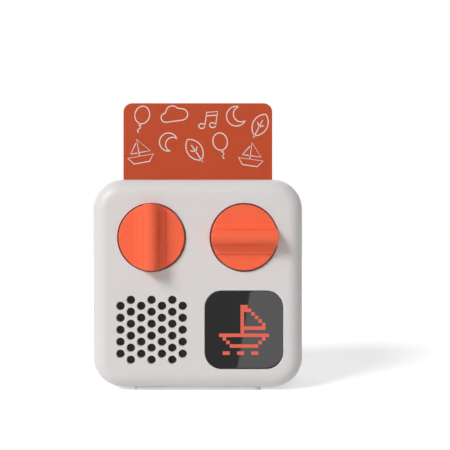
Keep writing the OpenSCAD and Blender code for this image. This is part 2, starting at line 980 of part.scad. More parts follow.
// Two wires from the battery's lower end, round one bend and into the socket
module battery_wires() {
    wire_y = (battery_front_y + battery_back_y) / 2;
    for (side = [-1, 1])
        color(side < 0 ? [0.75, 0.10, 0.10] : [0.08, 0.08, 0.08])
            translate([socket_x + side * wire_gap / 2, 0, 0]) {
                translate([0, wire_y, wire_z + wire_bend])
                    cylinder(h = battery_z - battery_h / 2 - wire_z - wire_bend, r = wire_r);
                translate([0, wire_y - wire_bend, wire_z + wire_bend])
                    rotate([90, 0, 90])
                        rotate_extrude(angle = 90, start = 270)
                            translate([wire_bend, 0])
                                circle(wire_r);
                rod([0, wire_z], board_back_y + socket_t, wire_y - wire_bend, wire_r);
            }
}

module battery_socket()
    color([0.90, 0.88, 0.82])
        slab(board_back_y, board_back_y + socket_t)
            translate([socket_x, wire_z])
                square([socket_w, socket_h], center = true);

// Socket shell of bent sheet with its contact tongue
module usb_socket() {
    mouth_x = -body_w / 2 + usb_sink;
    back_x = mouth_x + usb_l;
    color([0.75, 0.76, 0.78]) {
        usb_layer(mouth_x, back_x)
            difference() {
                rounded_rect(usb_t, usb_w, usb_corner);
                usb_inside(usb_sheet);
            }
        usb_layer(back_x - usb_back_t, back_x)
            usb_inside(usb_sheet / 2);
        usb_layer(mouth_x + tongue_sink, back_x - usb_back_t / 2)
            square([tongue_t, tongue_w], center = true);
    }
}

module usb_layer(left, right)
    cross_slab(left, right)
        translate([usb_y, usb_z])
            children();

module usb_inside(inset)
    rounded_rect(usb_t - 2 * inset, usb_w - 2 * inset, usb_corner - inset);

module headphone_jack()
    color([0.10, 0.10, 0.11])
        difference() {
            union() {
                cross_slab(jack_mouth_x, jack_mouth_x + jack_nose_l + cut)
                    translate([jack_y, jack_z])
                        circle(jack_nose_r);
                cross_slab(jack_mouth_x + jack_nose_l, jack_mouth_x + jack_l)
                    translate([jack_y, jack_z])
                        square([jack_t, jack_h], center = true);
            }
            cross_slab(jack_mouth_x - cut, jack_mouth_x + jack_bore_l)
                translate([jack_y, jack_z])
                    circle(jack_bore_r);
        }

// Button with a soft front edge and a flange that keeps it in the wall
module power_button() {
    out_x = body_w / 2 + button_proud;
    color([0.84, 0.83, 0.82])
        translate([button_in_x, button_y, button_z])
            rotate([0, 90, 0])
                rotate_extrude() {
                    square([button_d / 2 + button_flange, button_flange_t]);
                    edge_section(button_d / 2, out_x - button_in_x, button_edge);
                }
}

// Tact switch with its nub behind the power button
module power_switch()
    color([0.15, 0.15, 0.16]) {
        cross_slab(switch_right_x - switch_l, switch_right_x)
            translate([button_y, button_z])
                square([switch_t, switch_w], center = true);
        cross_slab(switch_right_x - cut, button_in_x - button_travel - nub_gap)
            translate([button_y, button_z])
                circle(nub_r);
    }

front_shell();
rear_cover();
base_pad();
cover_screws();
left_knob();
left_shaft();
left_plunger();
left_encoder();
right_knob();
right_shaft();
right_plunger();
right_encoder();
display_lens();
light_grid();
led_board();
display_frame();
grille_mesh();
speaker_gasket();
speaker_frame();
speaker_surround();
speaker_cone();
speaker_magnet();
speaker_contacts();
main_board();
board_screws();
processor_shield();
card();
card_guide();
reader_board();
reader_header();
battery();
battery_foam();
battery_wires();
battery_socket();
usb_socket();
headphone_jack();
power_button();
power_switch();
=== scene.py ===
"""Looks of the audio story player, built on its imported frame."""

import logging
import math
from abc import ABC, abstractmethod
from collections.abc import Callable, Iterable, Sequence
from dataclasses import dataclass
from enum import Enum

import bmesh
import bpy
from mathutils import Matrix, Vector


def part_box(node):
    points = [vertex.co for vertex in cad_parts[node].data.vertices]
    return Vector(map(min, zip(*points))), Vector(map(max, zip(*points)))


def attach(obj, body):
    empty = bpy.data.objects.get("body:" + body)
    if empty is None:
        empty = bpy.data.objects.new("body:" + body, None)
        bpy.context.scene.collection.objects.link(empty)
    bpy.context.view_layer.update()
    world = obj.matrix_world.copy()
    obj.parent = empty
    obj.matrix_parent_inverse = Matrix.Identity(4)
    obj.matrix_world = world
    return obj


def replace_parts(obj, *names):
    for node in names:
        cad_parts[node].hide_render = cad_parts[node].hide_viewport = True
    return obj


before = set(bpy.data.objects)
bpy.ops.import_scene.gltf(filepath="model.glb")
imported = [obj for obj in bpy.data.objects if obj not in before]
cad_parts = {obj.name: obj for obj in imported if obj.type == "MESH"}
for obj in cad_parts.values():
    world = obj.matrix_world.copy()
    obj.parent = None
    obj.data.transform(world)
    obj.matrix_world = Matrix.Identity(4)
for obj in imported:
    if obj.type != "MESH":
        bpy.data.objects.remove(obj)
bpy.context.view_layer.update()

LOG = logging.getLogger("story_player")
MM = 0.001
QUARTER = math.pi / 2
FEATURE_X = 15.2
SCREW_X = 25.0
SCREW_SEAT_Y = 13.0
CARD_WIDTH = 53.98
CARD_Y = 6.5
LAMP_PITCH = 1.175

Pair = tuple[float, float]
Point = tuple[float, float, float]
Colour = tuple[float, float, float]
Sockets = dict[str, object]


def linear(red: int, green: int, blue: int) -> Colour:
    """Turn a display colour into linear light.

    Args:
        red: Red, 0 to 255.
        green: Green, 0 to 255.
        blue: Blue, 0 to 255.

    Returns:
        The linear red, green and blue.
    """
    def channel(value: int) -> float:
        """Return one linear channel."""
        share = value / 255
        return share / 12.92 if share <= 0.04045 else ((share + 0.055) / 1.055) ** 2.4
    return channel(red), channel(green), channel(blue)


def span(node: str) -> tuple[Point, Point]:
    """Return the lowest and highest corner of a CAD node in millimetres."""
    low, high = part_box(node)
    return tuple(c / MM for c in low), tuple(c / MM for c in high)


def middle(node: str, axis: int) -> float:
    """Return the middle of a CAD node's box along an axis, in millimetres."""
    low, high = span(node)
    return (low[axis] + high[axis]) / 2


def dimmed(colour: Colour, factor: float) -> Colour:
    """Return the colour with each channel times the factor, at most 1."""
    return tuple(min(channel * factor, 1.0) for channel in colour)


def arch(steps: int, first: int = 0, end: float = QUARTER) -> list[Pair]:
    """Return the (sine, cosine) of even steps from 0 to an end angle, from a first step on."""
    return [(math.sin(end * i / steps), math.cos(end * i / steps)) for i in range(first, steps + 1)]


# ---------------------------------------------------------------- node trees


class Signal:
    """One output socket. Arithmetic on it adds Math nodes to its tree."""

    def __init__(self, bench: "Bench", socket: bpy.types.NodeSocket) -> None:
        """Wrap the socket that belongs to the bench's tree."""
        self.bench, self.socket = bench, socket

    def __add__(self, other: "Signal | float") -> "Signal":
        """Return self + other."""
        return self.bench.math("ADD", self, other)

    def __radd__(self, other: float) -> "Signal":
        """Return other + self."""
        return self.bench.math("ADD", other, self)

    def __sub__(self, other: "Signal | float") -> "Signal":
        """Return self - other."""
        return self.bench.math("SUBTRACT", self, other)

    def __rsub__(self, other: float) -> "Signal":
        """Return other - self."""
        return self.bench.math("SUBTRACT", other, self)

    def __mul__(self, other: "Signal | float") -> "Signal":
        """Return self * other."""
        return self.bench.math("MULTIPLY", self, other)

    def __rmul__(self, other: float) -> "Signal":
        """Return other * self."""
        return self.bench.math("MULTIPLY", other, self)

    def __truediv__(self, other: "Signal | float") -> "Signal":
        """Return self / other."""
        return self.bench.math("DIVIDE", self, other)

    def __mod__(self, other: float) -> "Signal":
        """Return self modulo other."""
        return self.bench.math("MODULO", self, other)

    def __abs__(self) -> "Signal":
        """Return the size of self."""
        return self.bench.math("ABSOLUTE", self)

    def __gt__(self, other: "Signal | float") -> "Signal":
        """Return 1 where self is greater than other."""
        return self.bench.math("GREATER_THAN", self, other)

    def __lt__(self, other: "Signal | float") -> "Signal":
        """Return 1 where self is less than other."""
        return self.bench.math("LESS_THAN", self, other)


class Bench:
    """Adds nodes to one shader or geometry tree."""

    def __init__(self, tree: bpy.types.NodeTree) -> None:
        """Work on the given tree."""
        self.tree = tree

    def node(self, kind: str, settings: dict | None = None, inputs: dict | None = None,
             out: int | str = 0) -> Signal:
        """Add a node of any type.

        Args:
            kind: The node's type.
            settings: Properties, set first; "stops" fills a colour ramp.
            inputs: Values or links by socket name or number; a list links a multi-input.
            out: The output to return.

        Returns:
            The chosen output.
        """
        made = self.tree.nodes.new(kind)
        for name, value in (settings or {}).items():
            if name == "stops":
                for element, (position, level) in zip(made.color_ramp.elements, value):
                    element.position, element.color = position, (level, level, level, 1.0)
            else:
                setattr(made, name, value)
        for name, value in (inputs or {}).items():
            for item in value if isinstance(value, list) else [value]:
                self.feed(made.inputs[name], item)
        return Signal(self, made.outputs[out])

    def feed(self, socket: bpy.types.NodeSocket, value: object) -> None:
        """Set an input.

        Args:
            socket: The input.
            value: A signal to link to it, or a value of its own.
        """
        if isinstance(value, Signal):
            self.tree.links.new(value.socket, socket)
        else:
            socket.default_value = value

    def outputs(self, first: Signal, names: Iterable[int | str]) -> list[Signal]:
        """Return the named outputs of the node that a signal comes from."""
        return [Signal(self, first.socket.node.outputs[name]) for name in names]

    def math(self, operation: str, *operands: "Signal | float") -> Signal:
        """Add a Math node with its operands in order."""
        return self.node("ShaderNodeMath", {"operation": operation}, dict(enumerate(operands)))

    def parts(self, vector: Signal) -> list[Signal]:
        """Return the X, Y and Z of a vector."""
        return self.outputs(self.node("ShaderNodeSeparateXYZ", inputs={0: vector}), range(3))

    def blend(self, factor: Signal | float, first: object, second: object) -> Signal:
        """Mix two colours.

        Args:
            factor: Share of the second colour.
            first: A signal or a linear colour.
            second: Another one.

        Returns:
            The mixed colour.
        """
        ends = [c if isinstance(c, Signal) else (*c, 1.0) for c in (first, second)]
        return self.node("ShaderNodeMix", {"data_type": "RGBA"},
                         {0: factor, 6: ends[0], 7: ends[1]}, out=2)

    def place(self, scale: Point = (1.0, 1.0, 1.0)) -> Signal:
        """Return the object's own coordinates in millimetres, times a scale on each axis."""
        spot, rate = self.node("ShaderNodeTexCoord", out="Object"), tuple(s / MM for s in scale)
        return self.node("ShaderNodeMapping", inputs={"Vector": spot, "Scale": rate})

    def noise(self, size: float, detail: float = 2.0, stretch: Point = (1.0, 1.0, 1.0)) -> Signal:
        """Return noise from 0 to 1.

        Args:
            size: Size of its blotches in millimetres.
            detail: Octaves of finer noise.
            stretch: Factor on the blotches' length along each axis.

        Returns:
            The noise value.
        """
        return self.node("ShaderNodeTexNoise", inputs={
            "Vector": self.place(tuple(1 / s for s in stretch)), "Scale": 1 / size,
            "Detail": detail, "Roughness": 0.55})

    def cells(self, size: float) -> Signal:
        """Return the distance pattern of Voronoi cells of a size in millimetres."""
        return self.node("ShaderNodeTexVoronoi", inputs={"Vector": self.place(), "Scale": 1 / size})

    def ramp(self, value: Signal, *stops: Pair) -> Signal:
        """Map a value through a grey ramp of two (position, level) stops."""
        return self.node("ShaderNodeValToRGB", {"stops": stops}, {0: value})

    def bump(self, height: Signal, depth: float) -> Signal:
        """Return a normal bumped by the height times a depth in millimetres."""
        return self.node("ShaderNodeBump", inputs={
            "Height": height, "Distance": depth * MM, "Strength": 1.0})

    def watched(self) -> Signal:
        """Tell the rays that see a surface from those that only light another one.

        Returns:
            1 for rays from the camera, a mirror or clear glass, and 0 for all others.
        """
        eye, mirror, glass = self.outputs(self.node("ShaderNodeLightPath"), (
            "Is Camera Ray", "Is Glossy Ray", "Is Transmission Ray"))
        return self.math("MAXIMUM", self.math("MAXIMUM", eye, mirror), glass)


# ------------------------------------------------------------------ finishes


@dataclass(frozen=True)
class Finish(ABC):
    """A procedural material. Its subclasses draw the surface of one kind of stuff."""

    name: str
    colour: Colour
    rough: float

    @abstractmethod
    def surface(self, bench: Bench) -> Sockets:
        """Return what goes into the shader's sockets."""

    def material(self) -> bpy.types.Material:
        """Return this finish's material, made on first use.

        Returns:
            The material of this finish's name.
        """
        made = bpy.data.materials.get(self.name)
        if made is None:
            made = bpy.data.materials.new(self.name)
            made.use_nodes = True
            bench = Bench(made.node_tree)
            shader = made.node_tree.nodes["Principled BSDF"]
            for socket, value in self.surface(bench).items():
                bench.feed(shader.inputs[socket], value)
            made.diffuse_color = (*self.colour, 1.0)
        return made

    def toned(self, factor: Signal, dim: float) -> Signal:
        """Return the colour, dimmed where the factor is 0."""
        return factor.bench.blend(factor, dimmed(self.colour, dim), self.colour)

    def varied(self, value: Signal, spread: float) -> Signal:
        """Return the roughness, spread evenly about its middle by a value from 0 to 1."""
        return self.rough + (value - 0.5) * spread


@dataclass(frozen=True)
class MouldedPlastic(Finish):
    """Injection-moulded plastic: spark-eroded grain, slow tone drift and faint handling marks."""

    grain: float = 0.2
    grain_depth: float = 0.006
    drift: float = 0.03
    drift_size: float = 16.0
    rub_size: float = 5.0
    sheen_spread: float = 0.07
    specular: float = 0.5

    def surface(self, bench: Bench) -> Sockets:
        """Return the grained surface.

        Args:
            bench: Adds nodes to the material.

        Returns:
            The shader's inputs by name.
        """
        fine = bench.noise(self.grain, 3.0)
        slow = bench.ramp(bench.noise(self.drift_size, 3.0), (0.3, 0.0), (0.7, 1.0))
        tone = self.toned(slow, 1 - self.drift)
        flecks = bench.ramp(fine, (0.62, 0.0), (0.8, self.drift * 4))
        rubbed = bench.noise(self.rub_size, 4.0, stretch=(1.0, 1.0, 2.2))
        height = fine * 0.6 + bench.cells(self.grain * 1.6) * 0.4
        return {"Base Color": bench.blend(flecks, tone, dimmed(self.colour, 0.8)),
                "Roughness": self.varied(rubbed, self.sheen_spread) + (fine - 0.5) * 0.04,
                "Specular IOR Level": self.specular,
                "Normal": bench.bump(height, self.grain_depth)}


@dataclass(frozen=True)
class KnobPlastic(MouldedPlastic):
    """Satin plastic of the knobs, polished by fingers where it stands out the most."""

    crest_y: float = -23.3
    ridge_h: float = 4.8
    polish: float = 0.10

    def surface(self, bench: Bench) -> Sockets:
        """Return the satin surface with its polished crest.

        Args:
            bench: Adds nodes to the material.

        Returns:
            The shader's inputs by name.
        """
        sockets = super().surface(bench)
        depth = bench.parts(bench.place())[1] - self.crest_y
        worn = bench.ramp(depth / self.ridge_h, (0.0, 1.0), (0.7, 0.0))
        smears = bench.ramp(bench.noise(1.1, 4.0, stretch=(1.0, 1.0, 3.0)), (0.35, 0.2), (0.7, 1.0))
        sockets["Roughness"] = sockets["Roughness"] - worn * smears * self.polish
        return sockets


@dataclass(frozen=True)
class CardStock(Finish):
    """Coated card: fine paper fibre under a satin film, paler where its edge is handled."""

    fibre: float = 0.35
    worn_edge: float = 0.35
    bare: Colour = linear(236, 150, 125)

    def surface(self, bench: Bench) -> Sockets:
        """Return the satin surface with fibres and rubbed edges.

        Args:
            bench: Adds nodes to the material.

        Returns:
            The shader's inputs by name.
        """
        across, _, height = bench.parts(bench.place())
        fibre = bench.noise(self.fibre, 3.0, stretch=(1.0, 1.0, 6.0))
        tone = self.toned(bench.ramp(bench.noise(22.0), (0.35, 0.0), (0.65, 1.0)), 0.955)
        edges = [bench.ramp(distance, (0.0, 1.0), (self.worn_edge, 0.0)) for distance in
                 (CARD_WIDTH / 2 - abs(across), span("card")[1][2] - height)]
        chips = bench.ramp(bench.noise(0.6, 4.0), (0.5, 0.0), (0.75, 0.5))
        chipped = bench.math("MAXIMUM", *edges) * chips
        return {"Base Color": bench.blend(chipped, tone, self.bare),
                "Roughness": self.varied(fibre, 0.08) + chipped * 0.2,
                "Specular IOR Level": 0.25, "Normal": bench.bump(fibre, 0.004)}


@dataclass(frozen=True)
class PrintInk(Finish):
    """Screen-printed ink: slightly uneven cover with a soft grain."""

    def surface(self, bench: Bench) -> Sockets:
        """Return the inked surface.

        Args:
            bench: Adds nodes to the material.

        Returns:
            The shader's inputs by name.
        """
        cover = bench.ramp(bench.noise(0.25, 3.0), (0.3, 0.0), (0.6, 1.0))
        return {"Base Color": self.toned(cover, 0.9), "Roughness": self.varied(cover, 0.06),
                "Normal": bench.bump(cover, 0.003)}


@dataclass(frozen=True)
class SmokedGlass(Finish):
    """Glossy smoked window with faint flow marks, smears and dust."""

    specular: float = 0.28
    dust: Colour = linear(120, 118, 115)

    def surface(self, bench: Bench) -> Sockets:
        """Return the glossy surface.

        Args:
            bench: Adds nodes to the material.

        Returns:
            The shader's inputs by name.
        """
        dust = bench.ramp(bench.cells(0.9), (0.0, 1.0), (0.05, 0.0))
        smear = bench.noise(2.4, 4.0, stretch=(2.0, 1.0, 1.0))
        return {"Base Color": bench.blend(dust * 0.12, self.colour, self.dust),
                "Roughness": self.rough + smear * 0.035 + dust * 0.3,
                "Specular IOR Level": self.specular,
                "Normal": bench.bump(bench.noise(7.0, 1.0), 0.004)}


@dataclass(frozen=True)
class LampGlow(Finish):
    """Lit square of the window: brightest over the lamp's chip, with a fine frosted grain."""

    glow: float = 0.66
    falloff: float = 0.1
    cells_aside: float = 64.0

    def surface(self, bench: Bench) -> Sockets:
        """Return the glowing surface.

        Args:
            bench: Adds nodes to the material.

        Returns:
            The shader's inputs by name.
        """
        across, _, height = bench.parts(bench.place())
        frost = bench.noise(0.12)
        spread = (self._off_centre(across, middle("display_lens", 0))
                  + self._off_centre(height, middle("display_lens", 2)))
        level = 1.0 + (frost - 0.5) * 0.08 - spread * self.falloff
        light = bench.node("ShaderNodeVectorMath", {"operation": "SCALE"},
                           {0: self.colour, "Scale": level})
        return {"Base Color": (*dimmed(self.colour, 0.3), 1.0), "Roughness": self.rough,
                "Emission Color": light, "Emission Strength": self.glow,
                "Normal": bench.bump(frost, 0.003)}

    def _off_centre(self, axis: Signal, centre: float) -> Signal:
        """Return the squared distance from the nearest lamp's middle, 1 at the cell's edge."""
        offset = (((axis - centre) / LAMP_PITCH + self.cells_aside) % 1.0 - 0.5) * 2.0
        return offset * offset


@dataclass(frozen=True)
class BrushedMetal(Finish):
    """Turned or rolled metal with drawing lines along one axis and dull patches."""

    lines: Point = (1.0, 12.0, 1.0)
    line_size: float = 0.08

    def surface(self, bench: Bench) -> Sockets:
        """Return the drawn metal surface.

        Args:
            bench: Adds nodes to the material.

        Returns:
            The shader's inputs by name.
        """
        drawn = bench.noise(self.line_size, 3.0, stretch=self.lines)
        patch = bench.noise(3.0, 3.0)
        return {"Base Color": self.toned(bench.ramp(patch, (0.35, 0.0), (0.7, 1.0)), 0.82),
                "Roughness": self.varied(drawn, 0.18) + (patch - 0.5) * 0.1,
                "Metallic": 1.0, "Normal": bench.bump(drawn, 0.003)}


@dataclass(frozen=True)
class CircuitBoard(Finish):
    """Solder mask over copper tracks, with small plated holes."""

    track: Colour = (0.05, 0.22, 0.11)
    plating: Colour = linear(205, 170, 95)
    pitch: float = 2.4

    def surface(self, bench: Bench) -> Sockets:
        """Return the board's masked tracks and holes.

        Args:
            bench: Adds nodes to the material.

        Returns:
            The shader's inputs by name.
        """
        bricks = bench.node("ShaderNodeTexBrick", {"offset": 0.37, "squash": 1.6}, {
            "Vector": bench.place(), "Color1": (0, 0, 0, 1), "Color2": (0.25, 0.25, 0.25, 1),
            "Mortar": (1, 1, 1, 1), "Scale": 1 / self.pitch, "Mortar Size": 0.09})
        holes = bench.ramp(bench.cells(self.pitch * 1.3), (0.08, 1.0), (0.11, 0.0))
        masked = bench.blend(bricks, self.colour, self.track)
        return {"Base Color": bench.blend(holes, masked, self.plating), "Metallic": holes,
                "Roughness": self.varied(bench.noise(0.5), 0.1), "Normal": bench.bump(holes, 0.03)}


@dataclass(frozen=True)
class OpenFoam(Finish):
    """Open-cell foam or pressed pulp: pits of one size over a matt ground, with the pits painted
    darker as painted shade.
    """

    pore: float = 0.4
    depth: float = 0.08

    def surface(self, bench: Bench) -> Sockets:
        """Return the porous surface.

        Args:
            bench: Adds nodes to the material.

        Returns:
            The shader's inputs by name.
        """
        pits, fuzz = bench.cells(self.pore), bench.noise(self.pore * 0.4, 3.0)
        # Painted shade: the colour falls to half inside the pits, where the bump sinks.
        return {"Base Color": self.toned(bench.ramp(pits, (0.1, 0.0), (0.6, 1.0)), 0.5),
                "Roughness": self.varied(fuzz, 0.08),
                "Normal": bench.bump(pits * 0.7 + fuzz * 0.3, self.depth)}


@dataclass(frozen=True)
class WovenMesh(Finish):
    """Fine dust mesh: two crossing sets of threads with dark holes between them."""

    thread: float = 0.32

    def surface(self, bench: Bench) -> Sockets:
        """Return the woven surface.

        Args:
            bench: Adds nodes to the material.

        Returns:
            The shader's inputs by name.
        """
        across, _, height = bench.parts(bench.place())
        weft, warp = (bench.math("SINE", axis * (2 * math.pi / self.thread))
                      for axis in (across, height))
        crossing = weft * 0.5 + warp * 0.5
        tone = self.toned(bench.ramp(crossing + 0.5, (0.2, 0.0), (0.9, 1.0)), 0.35)
        return {"Base Color": tone, "Roughness": self.varied(bench.noise(0.9, 3.0), 0.1),
                "Normal": bench.bump(crossing, 0.05)}


@dataclass(frozen=True)
class SoftRubber(Finish):
    """Rubber with a dull, slightly dusty skin and a pebbled grain."""

    pebble: float = 0.3

    def surface(self, bench: Bench) -> Sockets:
        """Return the rubber surface.

        Args:
            bench: Adds nodes to the material.

        Returns:
            The shader's inputs by name.
        """
        dust = bench.ramp(bench.noise(4.0, 4.0), (0.45, 0.0), (0.75, 0.35))
        return {"Base Color": bench.blend(dust, self.colour, dimmed(self.colour, 1.25)),
                "Roughness": self.rough + dust * 0.1,
                "Normal": bench.bump(bench.cells(self.pebble), 0.02)}


@dataclass(frozen=True)
class WireSleeve(Finish):
    """Soft vinyl sleeve: one colour left of a plane across X, the other right of it."""

    other: Colour = (0.02, 0.02, 0.02)
    split_x: float = 8.0

    def surface(self, bench: Bench) -> Sockets:
        """Return the two-coloured sleeves.

        Args:
            bench: Adds nodes to the material.

        Returns:
            The shader's inputs by name.
        """
        right = bench.parts(bench.place())[0] > self.split_x
        scuff = bench.noise(0.8, 4.0)
        return {"Base Color": bench.blend(right, self.colour, self.other),
                "Roughness": self.varied(scuff, 0.15), "Normal": bench.bump(scuff, 0.004)}


@dataclass(frozen=True)
class CellFoil(Finish):
    """Crinkled laminate foil of a battery pouch with a folded look, its crinkle hollows painted
    darker as painted shade.
    """

    def surface(self, bench: Bench) -> Sockets:
        """Return the crinkled foil.

        Args:
            bench: Adds nodes to the material.

        Returns:
            The shader's inputs by name.
        """
        crinkle = bench.noise(2.6, 4.0)
        # Painted shade: the tone dims where the crinkle noise is low, which is where the bump
        # sinks.
        return {"Base Color": self.toned(bench.ramp(crinkle, (0.3, 0.0), (0.7, 1.0)), 0.88),
                "Metallic": 0.85, "Roughness": self.varied(crinkle, 0.2),
                "Normal": bench.bump(bench.cells(3.1) * 0.5 + crinkle * 0.5, 0.06)}


@dataclass(frozen=True)
class FloorPaint(Finish):
    """Matt pale floor that lights up where it is seen."""

    glow: float = 0.52

    def surface(self, bench: Bench) -> Sockets:
        """Return the matt surface with its slow tone drift.

        Args:
            bench: Adds nodes to the material.

        Returns:
            The shader's inputs by name.
        """
        return {"Base Color": self.toned(bench.noise(60.0, 3.0), 0.98), "Roughness": self.rough,
                "Specular IOR Level": 0.0, "Emission Color": (1.0, 1.0, 1.0, 1.0),
                "Emission Strength": bench.watched() * self.glow}


SHELL = MouldedPlastic("shell_plastic", linear(226, 223, 222), 0.42, grain=0.18,
                       grain_depth=0.005, drift=0.018)
BUTTON = MouldedPlastic("button_plastic", linear(222, 220, 218), 0.4, drift=0.02)
KNOB = KnobPlastic("knob_plastic", linear(255, 103, 60), 0.34, grain_depth=0.004, drift=0.02,
                   specular=0.42)
CARD = CardStock("card_stock", linear(199, 77, 39), 0.42)
INK = PrintInk("white_ink", linear(238, 226, 220), 0.5)
LENS = SmokedGlass("smoked_lens", (0.004, 0.004, 0.0043), 0.045)
LAMP_LIT = LampGlow("lamp_lit", linear(235, 92, 68), 0.08)
SCREW_STEEL = BrushedMetal("screw_steel_turned", linear(168, 170, 174), 0.32)
FOAM = OpenFoam("grey_foam", linear(58, 58, 60), 0.9)
FLOOR = FloorPaint("pale_floor", (0.93, 0.93, 0.93), 0.9)
SLOT_FINISHES: dict[str, Finish] = {
    "shell": SHELL,
    "pad_rubber": SoftRubber("pad_rubber_skin", linear(228, 227, 225), 0.72),
    "knob": KNOB,
    "lens": LENS,
    "card": CARD,
    "screw_steel": SCREW_STEEL,
    "shaft_steel": BrushedMetal("shaft_steel_drawn", linear(196, 198, 202), 0.24),
    "sheet_metal": BrushedMetal("tinned_sheet", linear(186, 188, 192), 0.34,
                                lines=(10.0, 1.0, 1.0), line_size=0.14),
    "dark_plastic": MouldedPlastic("black_plastic", linear(34, 34, 36), 0.5, drift=0.08),
    "mesh": WovenMesh("dust_mesh", linear(62, 60, 58), 0.7),
    "foam": FOAM,
    "surround_rubber": SoftRubber("surround_rubber_skin", linear(28, 28, 28), 0.6, pebble=0.2),
    "cone_paper": OpenFoam("cone_pulp", linear(56, 55, 54), 0.85, pore=0.5, depth=0.03),
    "magnet": BrushedMetal("magnet_plated", linear(120, 122, 126), 0.38, lines=(4.0, 4.0, 1.0)),
    "contact_brass": BrushedMetal("contact_brass_drawn", linear(214, 178, 92), 0.3),
    "circuit_board": CircuitBoard("solder_mask", linear(22, 92, 56), 0.38),
    "cell_foil": CellFoil("pouch_foil", linear(196, 200, 206), 0.36),
    "wire": WireSleeve("wire_vinyl", linear(190, 30, 30), 0.45),
    "socket_plastic": MouldedPlastic("socket_nylon", linear(232, 226, 208), 0.5, grain=0.16),
}
OWN_FINISHES: dict[str, Finish] = {"battery_foam": FOAM}


# ------------------------------------------------------------------- meshes


def linked(name: str, data: bpy.types.ID) -> bpy.types.Object:
    """Make an object.

    Args:
        name: The object's name.
        data: Its mesh, light or camera.

    Returns:
        The object, linked to the scene.
    """
    made = bpy.data.objects.new(name, data)
    bpy.context.scene.collection.objects.link(made)
    return made


def make_piece(name: str, points: Sequence[Point], faces: Sequence[Sequence[int]],
               edges: Sequence[tuple[int, int]] = ()) -> bpy.types.Object:
    """Make a mesh object.

    Args:
        name: The object's name.
        points: Its points in millimetres.
        faces: Its faces as point numbers.
        edges: Loose edges as point numbers.

    Returns:
        The object, linked to the scene, with its faces turned outwards.
    """
    mesh = bpy.data.meshes.new(name)
    mesh.from_pydata([tuple(MM * c for c in point) for point in points], edges, faces)
    if faces:
        shape = bmesh.new()
        shape.from_mesh(mesh)
        bmesh.ops.remove_doubles(shape, verts=shape.verts, dist=1e-7)
        bmesh.ops.recalc_face_normals(shape, faces=shape.faces)
        shape.to_mesh(mesh)
        shape.free()
    return linked(name, mesh)


def loft(name: str, loops: Sequence[Sequence[Point]], ring: bool = False,
         strips: bool = False) -> bpy.types.Object:
    """Skin a row of closed loops that have the same number of points.

    Args:
        name: The object's name.
        loops: The loops, in order.
        ring: Whether the last loop joins the first; otherwise both ends are capped.
        strips: Whether the last cap is made of strips between points that mirror each other.

    Returns:
        The closed solid.
    """
    rows, count = len(loops), len(loops[0])
    faces: list[Sequence[int]] = []
    for row in range(rows if ring else rows - 1):
        near, far = row * count, (row + 1) % rows * count
        for item in range(count):
            after = (item + 1) % count
            faces.append((near + item, near + after, far + after, far + item))
    top = (rows - 1) * count
    if not ring:
        faces.append(tuple(range(count)))
    if strips:
        for item in range(count // 2):
            mirror, mirror_next = (count - item) % count, count - item - 1
            strip = (top + item, top + item + 1, top + mirror_next, top + mirror)
            faces.append(tuple(dict.fromkeys(strip)))
    elif not ring:
        faces.append(tuple(range(top, top + count)))
    return make_piece(name, [point for loop in loops for point in loop], faces)


def outline(half_w: float, half_h: float, radius: float, steps: int = 12) -> list[Pair]:
    """Draw a rectangle with round corners.

    Args:
        half_w: Half its width.
        half_h: Half its height.
        radius: Radius of its corners.
        steps: Steps round each corner.

    Returns:
        Its points about its middle.
    """
    radius = max(radius, 0.02)
    corners = [(half_w - radius, half_h - radius, 0), (radius - half_w, half_h - radius, 90),
               (radius - half_w, radius - half_h, 180), (half_w - radius, radius - half_h, 270)]
    points = []
    for x, y, start in corners:
        for step in range(steps + 1):
            angle = math.radians(start + 90 * step / steps)
            points.append((x + radius * math.cos(angle), y + radius * math.sin(angle)))
    return points


def circle(radius: float, steps: int = 48) -> list[Pair]:
    """Return a circle's points about its middle."""
    turns = [2 * math.pi * i / steps for i in range(steps)]
    return [(radius * math.cos(turn), radius * math.sin(turn)) for turn in turns]


class Facing(Enum):
    """The axis that an outline is extruded along."""

    FRONT = "Y"
    SIDE = "X"
    TOP = "Z"

    def at(self, flat: Sequence[Pair], centre: Point, along: float) -> list[Point]:
        """Place an outline in space.

        Args:
            flat: The outline.
            centre: Its middle; the value on the axis itself isn't used.
            along: Its distance along the axis.

        Returns:
            Its points in space.
        """
        if self is Facing.FRONT:
            return [(centre[0] + u, along, centre[2] + v) for u, v in flat]
        if self is Facing.SIDE:
            return [(along, centre[1] + u, centre[2] + v) for u, v in flat]
        return [(centre[0] + u, centre[1] + v, along) for u, v in flat]


def swept(name: str, facing: Facing, centre: Point, profile: Iterable[Pair],
          flat: Callable[[float], list[Pair]] = circle, ring: bool = False) -> bpy.types.Object:
    """Skin an outline that changes its size along an axis.

    Args:
        name: The object's name.
        facing: The axis.
        centre: Middle of the outlines.
        profile: Pairs of (size, place along the axis).
        flat: Gives the outline of a size.
        ring: Whether the last outline joins the first.

    Returns:
        The closed solid.
    """
    return loft(name, [facing.at(flat(size), centre, along) for size, along in profile], ring)


def rounding(radius: float, face: float, inward: float, inset: float, steps: int) -> list[Pair]:
    """Round over the edge between a face and a side.

    Args:
        radius: Radius of the rounding.
        face: Plane of the face.
        inward: +1 or -1, the way into the material.
        inset: How far in the side stands.
        steps: Steps round the edge.

    Returns:
        Pairs of (inset, plane) from the face round to the side.
    """
    return [(inset + radius * (1 - sine), face + inward * radius * (1 - cosine))
            for sine, cosine in arch(steps)]


